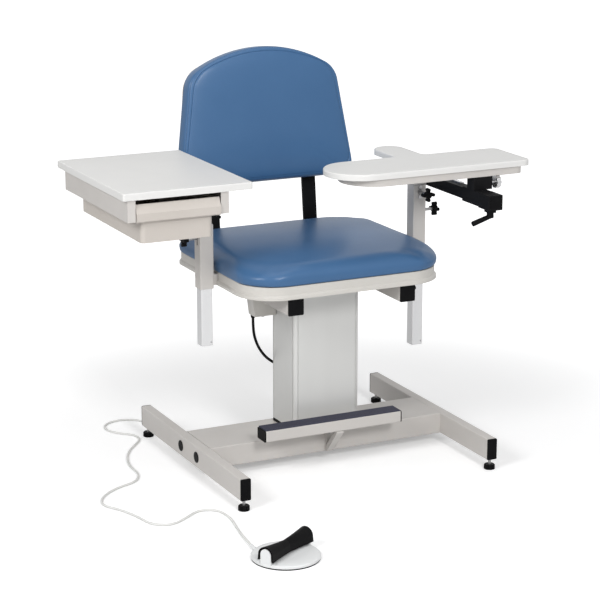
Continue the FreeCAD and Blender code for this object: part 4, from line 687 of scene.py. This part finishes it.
drawer_grey = finish("warm_grey_bin", (0.535, 0.495, 0.455), (0.505, 0.465, 0.425), (0.36, 0.46),
                     grain=1100, patch=6, depth=0.00004, share=0.6, rounding=0.0008)
dress(["drawer_tray"], drawer_grey)


# Flip arm
# A black steel beam on the post's pivot, with a bright wear strip on top, and a slide sleeve
# that carries the arm board on a cast block.

beam_top = 0.734
two_finishes("arm_beam", coat_black, bright, lambda place: place.z > beam_top + hair)
dress(["arm_slide_sleeve", "arm_block"], coat_black)
dress(["arm_wing_knob"], bright)
dress(["arm_lock_lever"], nylon_black)


# Foot switch
# A low domed base moulded in white on a black rubber ring. Two end hubs carry a black rocker.

switch_white = finish("white_switch_shell", (0.74, 0.75, 0.75), (0.71, 0.72, 0.72), (0.3, 0.4),
                      grain=1300, patch=8, depth=0.00003, rounding=0.0008)
ring_top = 0.0034
two_finishes("switch_base", switch_white, nylon_black, lambda place: place.z < ring_top)
dress(["cord_glands"], switch_white)
dress(["switch_pedal"], nylon_black)


# The room
# A plain pale floor and an even white surround, with three soft lamps: one above, one at the
# left and one in front. The camera sees the far floor and the surround as white.

def settle(obj):
    """Leaves edit mode and puts the object's place into its mesh."""
    only(obj)
    bpy.ops.object.transform_apply(location=True, rotation=True, scale=True)


bpy.ops.object.select_all(action="DESELECT")
bpy.ops.mesh.primitive_plane_add(size=60, location=(0, 10, 0))
floor = bpy.context.object
floor.name = "studio_floor"
settle(floor)
floor_paint = bpy.data.materials.new("studio_floor")
floor_paint.use_nodes = True
tree, link = floor_paint.node_tree.nodes, floor_paint.node_tree.links.new
matt = tree["Principled BSDF"]
matt.inputs["Base Color"].default_value = (0.84, 0.84, 0.84, 1)
matt.inputs["Roughness"].default_value = 0.9
matt.inputs["Specular IOR Level"].default_value = 0.1
matt.inputs["Emission Color"].default_value = (1, 1, 1, 1)
ray = tree.new("ShaderNodeLightPath")
place = tree.new("ShaderNodeTexCoord")
away = tree.new("ShaderNodeVectorMath")
away.operation = "LENGTH"
glow = tree.new("ShaderNodeMapRange")
glow.interpolation_type = "SMOOTHSTEP"
glow.inputs["From Min"].default_value = 0.7
glow.inputs["From Max"].default_value = 1.9
glow.inputs["To Min"].default_value = 0.29
glow.inputs["To Max"].default_value = 0.80
amount = tree.new("ShaderNodeMath")
amount.operation = "MULTIPLY"
link(place.outputs["Object"], away.inputs[0])
link(away.outputs["Value"], glow.inputs["Value"])
link(glow.outputs["Result"], amount.inputs[1])
link(ray.outputs["Is Camera Ray"], amount.inputs[0])
link(amount.outputs["Value"], matt.inputs["Emission Strength"])
floor.data.materials.append(floor_paint)

world = bpy.data.worlds.new("studio")
bpy.context.scene.world = world
world.use_nodes = True
tree, link = world.node_tree.nodes, world.node_tree.links.new
light = tree["Background"]
light.inputs["Color"].default_value = (0.985, 0.99, 1.0, 1)
light.inputs["Strength"].default_value = 0.41
white = tree.new("ShaderNodeBackground")
white.inputs["Color"].default_value = (1, 1, 1, 1)
white.inputs["Strength"].default_value = 1.0
ray = tree.new("ShaderNodeLightPath")
mirrored = tree.new("ShaderNodeMath")
mirrored.operation = "MULTIPLY"
mirrored.inputs[1].default_value = 0.7
indirect = tree.new("ShaderNodeMath")
indirect.operation = "MAXIMUM"
seen = tree.new("ShaderNodeMath")
seen.operation = "MAXIMUM"
link(ray.outputs["Is Glossy Ray"], mirrored.inputs[0])
link(mirrored.outputs["Value"], indirect.inputs[0])
link(ray.outputs["Is Transmission Ray"], indirect.inputs[1])
link(ray.outputs["Is Camera Ray"], seen.inputs[0])
link(indirect.outputs["Value"], seen.inputs[1])
mix = tree.new("ShaderNodeMixShader")
link(seen.outputs["Value"], mix.inputs["Fac"])
link(light.outputs["Background"], mix.inputs[1])
link(white.outputs["Background"], mix.inputs[2])
link(mix.outputs["Shader"], tree["World Output"].inputs["Surface"])


def lamp(name, place, target, size, power):
    """A square soft box aimed at target."""
    aim = (Vector(place) - Vector(target)).to_track_quat("Z", "Y").to_euler()
    bpy.ops.object.light_add(type="AREA", location=place, rotation=aim)
    box = bpy.context.object
    box.name = name
    box.data.size = size
    box.data.energy = power


lamp("top_box", (-0.2, -0.4, 3.6), (0, 0, 0.4), 2.2, 18)
lamp("left_box", (-3.4, -1.6, 2.6), (0, 0, 0.5), 1.2, 76)
lamp("front_box", (-0.2, -4.4, 2.9), (0, 0, 0.5), 1.0, 100)

bpy.context.scene.view_settings.view_transform = "Standard"
